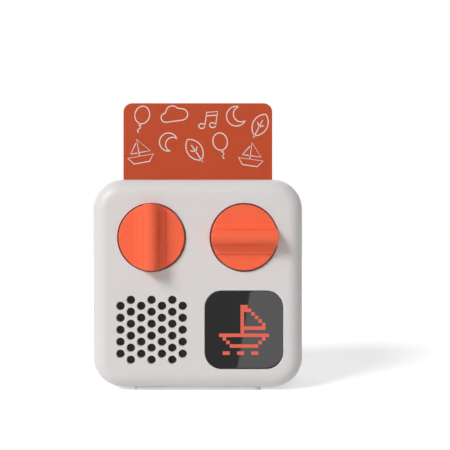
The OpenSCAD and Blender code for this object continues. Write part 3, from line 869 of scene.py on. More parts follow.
def rim_flare(face: float, inward: float, round_over: float) -> list[Pair]:
    """Shape the mouth of a cutter so that it leaves a rounded rim.

    Args:
        face: The plane of the face that is cut.
        inward: +1 or -1, the way into the material.
        round_over: Radius of the rounded rim.

    Returns:
        Pairs of (extra radius, plane), from the depth out past the face.
    """
    steep, clear = 78.0, 1.5
    loops = [(round_over * (1 - cosine), face + inward * round_over * (1 - sine))
             for sine, cosine in arch(4, end=math.radians(steep))]
    grow, plane = loops[-1]
    lift = 0.4 * round_over
    wide = grow + lift / math.tan(math.radians(90 - steep))
    return loops + [(wide, plane - inward * lift), (wide, face - inward * clear)]


def bore_cutter(name: str, facing: Facing, centre: Point, flat: Callable[[float], list[Pair]],
                deep: float, face: float, round_over: float) -> bpy.types.Object:
    """Make the solid that cuts one opening with a rounded rim.

    Args:
        name: The object's name.
        facing: The opening's axis.
        centre: Its middle.
        flat: Gives its outline, grown by an amount.
        deep: Plane where the cut starts inside.
        face: Plane of the outer face.
        round_over: Radius of the rounded rim.

    Returns:
        The cutting solid.
    """
    inward = 1.0 if deep > face else -1.0
    return swept(name, facing, centre, [(0.0, deep), *rim_flare(face, inward, round_over)], flat)


def join_pieces(name: str, pieces: Iterable[bpy.types.Object]) -> bpy.types.Object:
    """Merge meshes into one object.

    Args:
        name: The new object's name.
        pieces: The objects, which are removed.

    Returns:
        The merged object.
    """
    points: list[Point] = []
    faces: list[tuple[int, ...]] = []
    for piece in pieces:
        start = len(points)
        points += [tuple(c / MM for c in vertex.co) for vertex in piece.data.vertices]
        faces += [tuple(start + n for n in polygon.vertices) for polygon in piece.data.polygons]
        bpy.data.objects.remove(piece)
    return make_piece(name, points, faces)


def baked(piece: bpy.types.Object, name: str, finish: Finish | None = None,
          crease: float = 32.0, weighted: bool = True) -> bpy.types.Object:
    """Turn a piece and its modifiers into a plain mesh object.

    Args:
        piece: The object with modifiers, which is removed.
        name: Name of the new object.
        finish: Finish to put on it, if its tree hasn't set one.
        crease: Angle in degrees above which an edge stays sharp.
        weighted: Whether large flat faces set the shading near their edges.

    Returns:
        The plain mesh object.
    """
    def evaluate(source: bpy.types.Object) -> bpy.types.Mesh:
        """Return the evaluated mesh of an object."""
        graph = bpy.context.evaluated_depsgraph_get()
        return bpy.data.meshes.new_from_object(source.evaluated_get(graph), depsgraph=graph)
    mesh = evaluate(piece)
    bpy.data.objects.remove(piece)
    mesh.polygons.foreach_set("use_smooth", [True] * len(mesh.polygons))
    mesh.set_sharp_from_angle(angle=math.radians(crease))
    made = linked(name, mesh)
    if weighted:
        evening = made.modifiers.new("even shading", "WEIGHTED_NORMAL")
        evening.keep_sharp, evening.weight = True, 80
        made.data = evaluate(made)
        made.modifiers.clear()
    made.data.name = name
    if finish:
        made.data.materials.clear()
        made.data.materials.append(finish.material())
    return made


def report(piece: bpy.types.Object) -> None:
    """Log a finished piece."""
    LOG.info("%s: %d faces", piece.name, len(piece.data.polygons))


# ------------------------------------------------------------ geometry trees


class ShapeTree:
    """A Geometry Nodes tree with named inputs, ended by Realize Instances and Set Material."""

    KINDS = {float: "NodeSocketFloat", int: "NodeSocketInt"}

    def __init__(self, name: str, inputs: dict[str, object]) -> None:
        """Start a tree.

        Args:
            name: The tree's name.
            inputs: Values of its inputs by name; an object makes an object input.
        """
        self.tree = bpy.data.node_groups.new(name, "GeometryNodeTree")
        self.bench = Bench(self.tree)
        self.values = inputs
        face = self.tree.interface
        face.new_socket("Geometry", in_out="INPUT", socket_type="NodeSocketGeometry")
        face.new_socket("Geometry", in_out="OUTPUT", socket_type="NodeSocketGeometry")
        for label, value in inputs.items():
            kind = self.KINDS.get(type(value), "NodeSocketObject")
            face.new_socket(label, in_out="INPUT", socket_type=kind)
        self.entry = self.tree.nodes.new("NodeGroupInput")

    def given(self, label: str) -> Signal:
        """Return one of the tree's inputs."""
        return Signal(self.bench, self.entry.outputs[label])

    def solid(self, label: str) -> Signal:
        """Return the mesh of an object input."""
        return self.bench.node("GeometryNodeObjectInfo", inputs={"Object": self.given(label)},
                               out="Geometry")

    def boolean(self, operation: str, inputs: dict[str, object]) -> Signal:
        """Add an exact Mesh Boolean."""
        return self.bench.node("GeometryNodeMeshBoolean",
                               {"operation": operation, "solver": "EXACT"}, inputs)

    def carve(self, *cuts: Signal) -> None:
        """Join the cores to the tree's own mesh, cut it and end the tree in shell plastic.

        Args:
            cuts: What is taken away.
        """
        filled = self.boolean("UNION", {
            "Mesh 2": [self.given("Geometry"), self.solid("Cores")], "Self Intersection": True})
        self.finish(self.boolean("DIFFERENCE", {"Mesh 1": filled, "Mesh 2": list(cuts)}), SHELL)

    def scatter(self, piece: Signal, finish: Finish) -> None:
        """End the tree with a copy of a piece on each of its own points."""
        self.finish(self.bench.node("GeometryNodeInstanceOnPoints", inputs={
            "Points": self.given("Geometry"), "Instance": piece}), finish)

    def finish(self, geometry: Signal, finish: Finish) -> None:
        """End the tree with plain geometry in one finish.

        Args:
            geometry: What the tree has made.
            finish: The finish.
        """
        plain = self.bench.node("GeometryNodeRealizeInstances", inputs={0: geometry})
        dressed = self.bench.node("GeometryNodeSetMaterial", inputs={
            "Geometry": plain, "Material": finish.material()})
        exit_node = self.tree.nodes.new("NodeGroupOutput")
        self.tree.links.new(dressed.socket, exit_node.inputs[0])

    def run(self, piece: bpy.types.Object, name: str, crease: float = 32.0,
            weighted: bool = True) -> bpy.types.Object:
        """Put the tree on a piece, set its inputs and make the result plain.

        Args:
            piece: The object that the tree starts from, which is removed like its helpers.
            name: Name of the result.
            crease: Angle in degrees above which an edge stays sharp.
            weighted: Whether large flat faces set the shading near their edges.

        Returns:
            The plain mesh object.
        """
        modifier = piece.modifiers.new(self.tree.name, "NODES")
        modifier.node_group = self.tree
        for item in self.tree.interface.items_tree:
            if item.in_out == "INPUT" and item.name in self.values:
                modifier[item.identifier] = self.values[item.name]
        made = baked(piece, name, crease=crease, weighted=weighted)
        for value in self.values.values():
            if isinstance(value, bpy.types.Object):
                bpy.data.objects.remove(value)
        return made


# ------------------------------------------------------------------ housing


@dataclass
class Housing:
    """Front shell with its openings, and the rear cover."""

    half_w: float = 35.0
    half_h: float = (span("front_shell")[1][2] - span("front_shell")[0][2]) / 2
    centre_z: float = middle("front_shell", 2)
    corner: float = 10.0
    wall: float = 2.0
    flat_edge: float = 1.2
    front_y: float = -17.5
    split_y: float = 11.5
    back_y: float = 17.5
    front_round: float = 5.3
    rear_round: float = 3.0
    rear_inner_round: float = 1.0
    seam: float = 0.26
    high_z: float = middle("left_knob", 2)
    low_z: float = middle("display_lens", 2)
    well_r: float = 11.3
    well_wall: float = 1.2
    well_floor_y: float = -14.3
    well_back_y: float = -13.1
    hub_hole_r: float = 5.4
    rim: float = 0.16
    hole_r: float = 1.4
    hole_rim: float = 0.12
    hole_pitch: float = 3.94
    hole_columns: int = 7
    hole_rows: int = 5
    window_half: float = 12.9
    window_corner: float = 5.6
    window_rim: float = 0.3
    lens_back_y: float = -16.0
    opening_half: float = 10.4
    tight_corner: float = 0.3
    speaker_ring: Pair = (15.3, 14.3)
    speaker_ring_y: Pair = (-16.5, -12.5)
    light_frame: Pair = (12.7, 11.9)
    light_frame_y: Pair = (-16.4, -12.5)
    slot_half: Pair = (27.54, 0.88)
    slot_rim: float = 0.3
    pad_play: float = 0.05
    pad_corner: float = 2.5
    port_depth: float = 1.5
    charge_half: Pair = (1.93, 4.77)
    charge_corner: float = 1.63
    charge_rim: float = 0.25
    jack_r: float = 3.1
    button_r: float = 3.35
    side_rim: float = 0.22
    past: float = 1.0
    bite: float = 0.02
    screw_z: float = middle("cover_screws", 2)
    boss_r: float = 2.4
    tube_r: float = 3.5
    screw_hole_r: float = 1.05
    recess_r: float = 2.1
    recess_rim: float = 0.25
    lip: tuple[Pair, ...] = ((2.15, 10.0), (2.15, 11.55), (1.0, 11.55), (1.0, 13.5), (3.35, 13.5),
                             (3.35, 10.0))

    def build(self) -> None:
        """Build and place both halves."""
        self._front()
        self._cover()

    def _body(self, inset: float) -> list[Pair]:
        """Return the body's outline, inset by an amount."""
        return outline(self.half_w - inset, self.half_h - inset, self.corner - inset, steps=20)

    def _skin(self, name: str, face: float, inward: float, rounds: Pair,
              steps: tuple[int, int]) -> bpy.types.Object:
        """Make the hollow skin of one half.

        Args:
            name: The object's name.
            face: Plane of its outer face.
            inward: +1 or -1, the way from the face to the seam.
            rounds: Radius of its edge outside and inside.
            steps: Steps round the edge outside and inside.

        Returns:
            The closed skin.
        """
        flat, floor = rounds[0] + self.flat_edge, face + inward * self.wall
        inner = rounding(rounds[1], floor, inward, self.wall, steps[1])
        return swept(name, Facing.FRONT, (0.0, 0.0, self.centre_z), [
            (flat, face), *rounding(rounds[0], face, inward, 0.0, steps[0]),
            (0.0, self.split_y - inward * self.seam), (self.seam, self.split_y),
            (self.wall, self.split_y), *reversed(inner), (flat, floor)], self._body)

    def _front(self) -> None:
        """Build the front shell from its skin, cores and cutters."""
        skin = self._skin("front_skin", self.front_y, 1.0,
                          (self.front_round, self.front_round - self.wall), steps=(14, 6))
        pin = bore_cutter("hole_pin", Facing.FRONT, (0.0, 0.0, 0.0),
                          lambda grow: circle(self.hole_r + grow, steps=28),
                          self.front_y + self.wall + self.past, self.front_y, self.hole_rim)
        tree = ShapeTree("perforated_front", {
            "Cores": self._cores(), "Openings": self._openings(), "Hole pin": pin,
            "Pitch": self.hole_pitch, "Columns": self.hole_columns, "Rows": self.hole_rows,
            "Across": -FEATURE_X, "Height": self.low_z})
        tree.carve(tree.solid("Openings"), self._hole_pins(tree))
        shell = tree.run(skin, "front_housing", crease=30.0)
        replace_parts(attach(shell, "housing"), "front_shell")
        report(shell)

    def _hole_pins(self, tree: ShapeTree) -> Signal:
        """Spread the hole cutter over a hexagonal field.

        Args:
            tree: The tree, whose inputs set the field.

        Returns:
            All the cutters as plain geometry.
        """
        bench = tree.bench
        pitch, columns, rows, x, z = (tree.given(label) for label in (
            "Pitch", "Columns", "Rows", "Across", "Height"))
        step = pitch * math.cos(math.radians(30))
        grid = bench.node("GeometryNodeMeshGrid", inputs={
            "Size X": (columns - 1.0) * step, "Size Y": rows * pitch,
            "Vertices X": columns, "Vertices Y": rows + 1.0})
        across, down, _ = bench.parts(bench.node("GeometryNodeInputPosition"))
        odd = abs(bench.math("ROUND", across / step)) % 2.0
        spread = bench.node("ShaderNodeCombineXYZ", inputs={
            0: across * MM + x * MM, 1: 0.0, 2: (down - odd * pitch * 0.5) * MM + z * MM})
        moved = bench.node("GeometryNodeSetPosition", inputs={
            "Geometry": grid, "Position": spread})
        above = bench.parts(bench.node("GeometryNodeInputPosition"))[2] / MM - z
        kept = bench.node("GeometryNodeDeleteGeometry", {"domain": "POINT"}, {
            "Geometry": moved, "Selection": above < (rows * -0.5 - 0.25) * pitch})
        pins = bench.node("GeometryNodeInstanceOnPoints", inputs={
            "Points": kept, "Instance": tree.solid("Hole pin")})
        return bench.node("GeometryNodeRealizeInstances", inputs={0: pins})

    def _cores(self) -> bpy.types.Object:
        """Make what stands behind the front wall.

        Returns:
            The well tubes, screw bosses and the rings round speaker and lamps, in one object.
        """
        root = self.front_y + self.wall / 2
        cores = [swept("core", Facing.FRONT, (side * x, 0.0, z), [(radius, root), (radius, back)])
                 for x, z, radius, back in (
                     (FEATURE_X, self.high_z, self.well_r + self.well_wall, self.well_back_y),
                     (SCREW_X, self.screw_z, self.boss_r, self.split_y - self.bite))
                 for side in (-1, 1)]
        for x, (outer, inner), (near, far), flat in (
                (-FEATURE_X, self.speaker_ring, self.speaker_ring_y, circle),
                (FEATURE_X, self.light_frame, self.light_frame_y,
                 lambda half: outline(half, half, self.tight_corner, steps=3))):
            cores.append(swept("core", Facing.FRONT, (x, 0.0, self.low_z), [
                (outer, near), (outer, far), (inner, far), (inner, near)], flat, ring=True))
        return join_pieces("front_cores", cores)

    def _openings(self) -> bpy.types.Object:
        """Make what is cut out of the front shell.

        Returns:
            The cutters of the wells, window, slot, pad seat and side ports, in one object.
        """
        half_l, half_t = self.slot_half
        half_y, half_z = self.charge_half
        top, deep_x = self.centre_z + self.half_h, self.half_w - self.wall - self.port_depth
        low, high = span("base_pad")
        pad_x, pad_y = ((high[axis] - low[axis]) / 2 for axis in (0, 1))
        cutters = [self._well(side * FEATURE_X) for side in (-1, 1)]
        cutters += [
            self._window(),
            bore_cutter("slot", Facing.TOP, (0.0, CARD_Y, 0.0),
                        lambda grow: outline(half_l + grow, half_t + grow, half_t + grow, steps=10),
                        top - self.wall - self.past, top, self.slot_rim),
            swept("pad_seat", Facing.TOP, (0.0, middle("base_pad", 1), 0.0),
                  [(self.pad_play, self.centre_z - self.half_h - self.past),
                   (self.pad_play, high[2])],
                  lambda play: outline(pad_x + play, pad_y + play, self.pad_corner)),
            bore_cutter("charge_port", Facing.SIDE,
                        (0.0, middle("usb_socket", 1), middle("usb_socket", 2)),
                        lambda grow: outline(half_y + grow, half_z + grow,
                                             self.charge_corner + grow, steps=8),
                        -deep_x, -self.half_w, self.charge_rim)]
        for side, node, radius in ((-1, "headphone_jack", self.jack_r),
                                   (1, "power_button", self.button_r)):
            cutters.append(bore_cutter(
                "side_port", Facing.SIDE, (0.0, middle(node, 1), middle(node, 2)),
                lambda grow, r=radius: circle(r + grow),
                side * deep_x, side * self.half_w, self.side_rim))
        return join_pieces("front_openings", cutters)

    def _well(self, x: float) -> bpy.types.Object:
        """Make the cutter of one knob well and its hub hole.

        Args:
            x: The well's place across the front.

        Returns:
            The cutting solid.
        """
        profile = [(self.hub_hole_r, self.well_back_y + self.past),
                   (self.hub_hole_r, self.well_floor_y), (self.well_r, self.well_floor_y)]
        profile += [(self.well_r + grow, plane)
                    for grow, plane in rim_flare(self.front_y, 1.0, self.rim)]
        return swept("well", Facing.FRONT, (x, 0.0, self.high_z), profile,
                     lambda radius: circle(radius, steps=128))

    def _window(self) -> bpy.types.Object:
        """Make the cutter of the window's seat and of the opening behind it.

        Returns:
            The cutting solid.
        """
        squares = [(self.opening_half, self.tight_corner, self.front_y + self.wall + self.past),
                   (self.opening_half, self.tight_corner, self.lens_back_y),
                   (self.window_half, self.window_corner, self.lens_back_y)]
        squares += [(self.window_half + grow, self.window_corner + grow, plane)
                    for grow, plane in rim_flare(self.front_y, 1.0, self.window_rim)]
        centre = (FEATURE_X, 0.0, self.low_z)
        return loft("window", [Facing.FRONT.at(outline(half, half, corner, steps=16), centre, plane)
                               for half, corner, plane in squares])

    def _cover(self) -> None:
        """Build the rear cover with its lip, screw recesses and screw tubes."""
        skin = self._skin("cover_skin", self.back_y, -1.0,
                          (self.rear_round, self.rear_inner_round), steps=(10, 4))
        cores = [swept("tube", Facing.FRONT, (0.0, 0.0, self.centre_z), self.lip, self._body,
                       ring=True)]
        recess = [(self.screw_hole_r, self.split_y - self.past),
                  (self.screw_hole_r, SCREW_SEAT_Y), (self.recess_r, SCREW_SEAT_Y)]
        recess += [(self.recess_r + grow, plane)
                   for grow, plane in rim_flare(self.back_y, -1.0, self.recess_rim)]
        cuts = []
        for side in (-1, 1):
            centre = (side * SCREW_X, 0.0, self.screw_z)
            cores.append(swept("tube", Facing.FRONT, centre, [
                (self.tube_r, self.split_y + self.bite),
                (self.tube_r, self.back_y - self.wall / 2)]))
            cuts.append(swept("recess", Facing.FRONT, centre, recess))
        tree = ShapeTree("screwed_cover", {"Cores": join_pieces("cover_cores", cores),
                                           "Recesses": join_pieces("cover_cuts", cuts)})
        tree.carve(tree.solid("Recesses"))
        cover = tree.run(skin, "rear_housing", crease=30.0)
        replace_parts(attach(cover, "housing"), "rear_cover")
        report(cover)


# -------------------------------------------------------------------- knobs


class RidgeRun(Enum):
    """Which way a knob's grip ridge runs at rest."""

    UPRIGHT = "upright"
    LEVEL = "level"

    def world(self, across: float, along: float) -> Pair:
        """Turn ridge coordinates into X and Z offsets."""
        return (across, along) if self is RidgeRun.UPRIGHT else (along, across)


@dataclass
class Knob:
    """Turning knob with a full-width grip ridge whose flanks run hollow into the disc."""

    name: str
    node: str
    body: str
    centre_x: float
    run: RidgeRun
    radius: float = 10.8
    centre_z: float = middle("left_knob", 2)
    back_y: float = -15.2
    disc_t: float = 3.3
    ridge_h: float = 4.8
    crest_w: float = 2.4
    crest_h: float = 2.0
    thin_foot: Point = (4.5, 0.25, 0.4)
    broad_foot: Point = (4.9, 0.8, 0.6)
    edge: float = 0.28
    back_edge: float = 0.25
    hub_r: float = 5.0
    hub_l: float = 2.0
    hub_edge: float = 0.2
    groove: Pair = (6.2, 9.2)
    groove_depth: float = 1.65
    bore_r: float = 3.05
    bore_roof: float = 0.8
    flat: float = 1.55

    def _half(self, foot: Point) -> list[Pair]:
        """Sample one side of the knob's face.

        Args:
            foot: Where the hollow flank ends, and the width and height of the step at its foot.

        Returns:
            Pairs of (distance from the ridge's middle, height) from the crest out to the rim.
        """
        flank_end, step_w, step_h = foot
        brow = self.disc_t + self.ridge_h - self.crest_h
        fall = self.ridge_h - self.crest_h - step_h
        flank = flank_end - self.crest_w
        half = [(self.crest_w * sine, brow + self.crest_h * cosine) for sine, cosine in arch(12)]
        half += [(self.crest_w + flank * (1 - cosine), brow - fall * sine)
                 for sine, cosine in arch(20, first=1)]
        half += [(flank_end + step_w * sine, self.disc_t + step_h * cosine)
                 for sine, cosine in arch(8, first=1)]
        reach, steps = self.radius - self.edge, 26
        start = math.asin(half[-1][0] / reach)
        return half + [(reach * math.sin(start + (QUARTER - start) * i / steps), self.disc_t)
                       for i in range(1, steps + 1)]

    def _profile(self) -> list[Pair]:
        """Return (distance across the ridge, height) samples, from the broad foot's side on."""
        broad, thin = self._half(self.broad_foot), self._half(self.thin_foot)
        return [(-u, h) for u, h in reversed(broad[1:])] + thin

    def _ring(self, samples: Sequence[Pair], radius: float, plane: float | None = None,
              drop: float = 0.0, cut: float | None = None) -> list[Point]:
        """Make one loop of points round the knob.

        Args:
            samples: The profile samples, which set the loop's angles.
            radius: The loop's radius.
            plane: The loop's height, or None where it follows the profile.
            drop: How far it lies below the profile.
            cut: Distance of a flat on the loop, if it has one.

        Returns:
            The loop in millimetres, in the scene's axes.
        """
        reach = self.radius - self.edge
        order = [(u, h, 1) for u, h in samples] + [(u, h, -1) for u, h in reversed(samples[1:-1])]
        loop = []
        for u, h, side in order:
            share = max(-1.0, min(1.0, u / reach))
            x, z = self.run.world(radius * share, side * radius * math.sqrt(1 - share * share))
            height = h - drop if plane is None else plane
            loop.append((self.centre_x + x, self.back_y - height,
                         self.centre_z + (z if cut is None else min(z, cut))))
        return loop

    def build(self) -> None:
        """Build the knob in its finish and hang it on its body."""
        samples, below, (groove_in, groove_out) = self._profile(), -self.hub_l, self.groove
        loops = [self._ring(samples, self.bore_r, plane, cut=self.flat)
                 for plane in (self.disc_t - self.bore_roof, below)]
        loops += [self._ring(samples, radius, plane) for radius, plane in (
            (self.hub_r - self.hub_edge, below), (self.hub_r, below + self.hub_edge),
            (self.hub_r, 0.0), (groove_in, 0.0), (groove_in, self.groove_depth),
            (groove_out, self.groove_depth), (groove_out, 0.0),
            (self.radius - self.back_edge, 0.0), (self.radius, self.back_edge))]
        loops += [self._ring(samples, self.radius - self.edge * (1 - cosine),
                             drop=self.edge * (1 - sine)) for sine, cosine in arch(5)]
        knob = baked(loft("knob_solid", loops, strips=True), self.name, KNOB, crease=38.0)
        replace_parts(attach(knob, self.body), self.node)
        report(knob)


# ------------------------------------------------------------------ display


class Motif(Enum):
    """What the lamp matrix shows, one text row for each row of lamps."""

    SAILING_BOAT = (
        "................",
        ".......##.......",
        ".......###......",
        ".......#..#.....",
        ".......#...#....",
        ".......#....#...",
        ".......#.....#..",
        ".......#######..",
        ".......#........",
        ".##############.",
        "..#..........#..",
        "...#........#...",
        "....########....",
        "................",
        "..##..##..##....",
        "................",
    )


@dataclass
class Display:
    """Smoked window and the squares of it that the lamps light up."""

    centre: Pair = (middle("display_lens", 0), middle("display_lens", 2))
    half: float = 12.8
    corner: float = 5.5
    front_y: float = -17.4
    back_y: float = -16.0
    edge: float = 0.16
    soft: float = 0.045
    flat_edge: float = 0.4
    square: float = 1.165
    square_depth: float = 0.12
    proud: float = 0.01
    motif: Motif = Motif.SAILING_BOAT

    def build(self) -> None:
        """Build the window and its lit squares."""
        self._window()
        self._lamps()

    def _window(self) -> None:
        """Build the window plate with its fine chamfer."""
        front, edge, soft = self.front_y, self.edge, self.soft
        plate = swept("window_plate", Facing.FRONT, (self.centre[0], 0.0, self.centre[1]), [
            (edge + self.flat_edge, front), (edge, front), (soft, front + soft),
            (0.0, front + edge), (0.0, self.back_y)],
            lambda inset: outline(self.half - inset, self.half - inset, self.corner - inset,
                                  steps=16))
        window = baked(plate, "smoked_window", LENS)
        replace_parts(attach(window, "housing"), "display_lens")
        report(window)

    def _lamps(self) -> None:
        """Build one thin square for each lit lamp of the motif."""
        half = (len(self.motif.value) - 1) / 2
        plane = self.front_y - self.proud + self.square_depth / 2
        seeds = make_piece("lamp_points", [
            (self.centre[0] + (column - half) * LAMP_PITCH, plane,
             self.centre[1] + (half - row) * LAMP_PITCH)
            for row, text in enumerate(self.motif.value)
            for column, mark in enumerate(text) if mark == "#"], [])
        tree = ShapeTree("lamp_squares", {
            "Side": self.square * MM, "Depth": self.square_depth * MM})
        side, depth = tree.given("Side"), tree.given("Depth")
        size = tree.bench.node("ShaderNodeCombineXYZ", inputs={0: side, 1: depth, 2: side})
        tree.scatter(tree.bench.node("GeometryNodeMeshCube", inputs={"Size": size}), LAMP_LIT)
        lamps = tree.run(seeds, "lamps_lit", weighted=False)
        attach(lamps, "housing")
        report(lamps)


# --------------------------------------------------------------------- card


def arc(centre: Pair, radius: Pair, start: float, end: float, steps: int = 14) -> list[Pair]:
    """Draw an arc of an ellipse.

    Args:
        centre: The ellipse's middle.
        radius: Its two radii.
        start: Angle where the arc starts, in degrees.
        end: Angle where it ends.
        steps: Steps along it.

    Returns:
        The arc's points.
    """
    turns = [math.radians(start + (end - start) * i / steps) for i in range(steps + 1)]
    return [(centre[0] + radius[0] * math.cos(turn), centre[1] + radius[1] * math.sin(turn))
            for turn in turns]


class Drawing(Enum):
    """Strokes of small line drawings for the card, each about its middle in a unit square."""

    MOON = [arc((0, 0), (0.5, 0.5), 50, 310, 26) + arc((0.25, 0), (0.38, 0.39), 283, 77, 20)]
    CLOUD = [arc((-0.32, -0.1), (0.2, 0.18), 270, 95, 12)
             + arc((-0.06, 0.1), (0.24, 0.22), 165, 30, 12)
             + arc((0.28, -0.06), (0.24, 0.22), 80, -90) + [(-0.32, -0.28)]]
    BALLOON = [arc((0, 0.16), (0.29, 0.35), -90, 270, 28),
               [(-0.05, -0.26), (0.0, -0.19), (0.05, -0.26), (-0.05, -0.26)],
               [(0.0, -0.26), (0.05, -0.36), (-0.04, -0.45), (0.02, -0.56)]]
    NOTE = [arc((-0.22, -0.36), (0.15, 0.12), 0, 360, 16),
            arc((0.3, -0.24), (0.15, 0.12), 0, 360, 16),
            [(-0.07, -0.36), (-0.07, 0.34), (0.45, 0.46), (0.45, -0.24)],
            [(-0.07, 0.16), (0.45, 0.28)]]
    LEAF = [arc((0.3, 0), (0.62, 0.6), 119, 241, 16) + arc((-0.3, 0), (0.62, 0.6), -61, 61, 16),
            [(0, -0.62), (0, 0.24)], [(0, -0.1), (0.16, 0.06)], [(0, -0.1), (-0.16, 0.06)]]
    BOAT = [[(-0.5, -0.16), (0.5, -0.16), (0.3, -0.42), (-0.3, -0.42), (-0.5, -0.16)],
            [(-0.04, -0.16), (-0.04, 0.5), (0.4, -0.02), (-0.04, -0.02)],
            [(-0.1, 0.36), (-0.36, -0.02), (-0.1, -0.02)]]


@dataclass
class StoryCard:
    """Coated card with rounded corners and thin white line drawings.

    The rim gives pairs of (inset, depth below the face) round the soft edge. The middle of a line
    stands proud of the face by a share of its thickness. The layout gives each drawing's place
    across the card, its distance below the card's top, its size, and its turn in degrees.
    """

    height: float = 85.6
    thick: float = 0.76
    corner: float = 3.18
    rim: tuple[Pair, ...] = ((0.5, 0.0), (0.1, 0.0), (0.03, 0.03), (0.0, 0.1))
    line_w: float = 0.37
    line_t: float = 0.03
    line_proud: float = 0.3
    layout: tuple[tuple[Drawing, float, float, float, float], ...] = (
        (Drawing.BALLOON, -20.5, 5.7, 9.2, -14), (Drawing.CLOUD, -8.6, 3.9, 9.4, 8),
        (Drawing.NOTE, 3.4, 5.9, 7.4, -8), (Drawing.MOON, 14.0, 4.7, 7.2, 24),
        (Drawing.LEAF, 22.6, 7.9, 8.4, -28), (Drawing.BOAT, -21.0, 17.7, 9.4, 10),
        (Drawing.MOON, -10.6, 14.1, 6.6, -30), (Drawing.LEAF, -1.2, 16.9, 8.6, 34),
        (Drawing.BALLOON, 8.4, 15.3, 9.0, 12), (Drawing.BOAT, 19.4, 18.9, 9.0, -8))

    def build(self) -> None:
        """Build the card and its print."""
        front, back = (CARD_Y + side * self.thick / 2 for side in (-1, 1))
        profile = [(inset, front + sink) for inset, sink in self.rim]
        profile += [(inset, back - sink) for inset, sink in reversed(self.rim)]
        blank = swept("card_blank", Facing.FRONT, (0.0, 0.0, middle("card", 2)), profile,
                      lambda inset: outline(CARD_WIDTH / 2 - inset, self.height / 2 - inset,
                                            self.corner - inset, steps=14))
        card = baked(blank, "story_card", CARD)
        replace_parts(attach(card, "card"), "card")
        report(card)
        self._print()

    def _strokes(self) -> bpy.types.Object:
        """Lay the strokes of all drawings on the card's face.

        Returns:
            An object of loose edges.
        """
        points: list[Point] = []
        edges: list[tuple[int, int]] = []
        plane = CARD_Y - self.thick / 2 - self.line_t * self.line_proud
        for drawing, x, drop, size, turn in self.layout:
            z = span("card")[1][2] - drop
            cosine, sine = math.cos(math.radians(turn)), math.sin(math.radians(turn))
            for stroke in drawing.value:
                closed = math.dist(stroke[0], stroke[-1]) < 1e-6
                run = stroke[:-1] if closed else stroke
                start = len(points)
                points += [(x + size * (u * cosine - v * sine), plane,
                            z + size * (u * sine + v * cosine)) for u, v in run]
                edges += [(start + i, start + i + 1) for i in range(len(run) - 1)]
                if closed:
                    edges.append((start + len(run) - 1, start))
        return make_piece("print_lines", points, [], edges)

    def _print(self) -> None:
        """Draw the line print as thin ribbons along its strokes."""
        tree = ShapeTree("print_ribbons", {
            "Line width": self.line_w * MM, "Line depth": self.line_t * MM})
        bench = tree.bench
        path = bench.node("GeometryNodeMeshToCurve", inputs={0: tree.given("Geometry")})
        level = bench.node("GeometryNodeSetCurveNormal", {"mode": "FREE"},
                           {"Curve": path, "Normal": (0.0, -1.0, 0.0)})
        section = bench.node("GeometryNodeCurvePrimitiveQuadrilateral", inputs={
            "Width": tree.given("Line depth"), "Height": tree.given("Line width")})
        tree.finish(bench.node("GeometryNodeCurveToMesh", inputs={
            "Curve": level, "Profile Curve": section, "Fill Caps": True}), INK)
        ink = tree.run(self._strokes(), "card_print", weighted=False)
        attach(ink, "card")
        report(ink)


# ---------------------------------------------------------- screws and sides


@dataclass
class CoverScrews:
    """Pan-head screws with a cross recess, in the cover's two recesses.

    Tip and head are pairs of (radius, height above the seat), and the cross's taper gives its scale
    at two heights.
    """

    z: float = middle("cover_screws", 2)
    tip: tuple[Pair, ...] = ((0.15, -8.0), (0.6, -7.9))
    thread_r: Pair = (1.0, 0.8)
    thread_start: float = -7.5
    thread_pitch: float = 0.5
    thread_turns: int = 14
    head: tuple[Pair, ...] = ((1.0, -0.2), (1.0, 0.0), (1.8, 0.0), (1.9, 0.12), (1.9, 0.7),
                              (1.767, 1.0), (1.368, 1.2), (0.76, 1.29), (0.2, 1.3))
    cross: Pair = (1.05, 0.2)
    cross_corner: float = 0.05
    cross_taper: tuple[Pair, ...] = ((0.55, 0.6), (1.05, 1.8))

    def _on_seat(self, name: str, profile: Iterable[Pair],
                 flat: Callable[[float], list[Pair]]) -> bpy.types.Object:
        """Skin pairs of (size, height above the screw's seat)."""
        profile = [(size, SCREW_SEAT_Y + height) for size, height in profile]
        return swept(name, Facing.FRONT, (0.0, 0.0, 0.0), profile, flat)

    def build(self) -> None:
        """Build one screw and repeat it at its places."""
        (crest, root), thread = self.thread_r, []
        for turn in range(self.thread_turns):
            low = self.thread_start + turn * self.thread_pitch
            thread += [(crest, low), (root, low + self.thread_pitch / 2)]
        screw = self._on_seat("screw", [*self.tip, *thread, *self.head],
                              lambda radius: circle(radius, steps=32))
        bars = [self._on_seat("bar", self.cross_taper,
                              lambda grow, w=wide, t=tall: outline(w * grow, t * grow,
                                                                   self.cross_corner, steps=2))
                for wide, tall in (self.cross, reversed(self.cross))]
        seeds = make_piece("screw_points", [(side * SCREW_X, 0.0, self.z) for side in (-1, 1)], [])
        tree = ShapeTree("cover_screw_row", {"Screw": screw, "Cross": join_pieces("cross", bars)})
        tree.scatter(tree.boolean("DIFFERENCE", {
            "Mesh 1": tree.solid("Screw"), "Mesh 2": [tree.solid("Cross")],
            "Self Intersection": True}), SCREW_STEEL)
        screws = tree.run(seeds, "cross_screws", crease=25.0, weighted=False)
        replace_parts(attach(screws, "housing"), "cover_screws")
        report(screws)


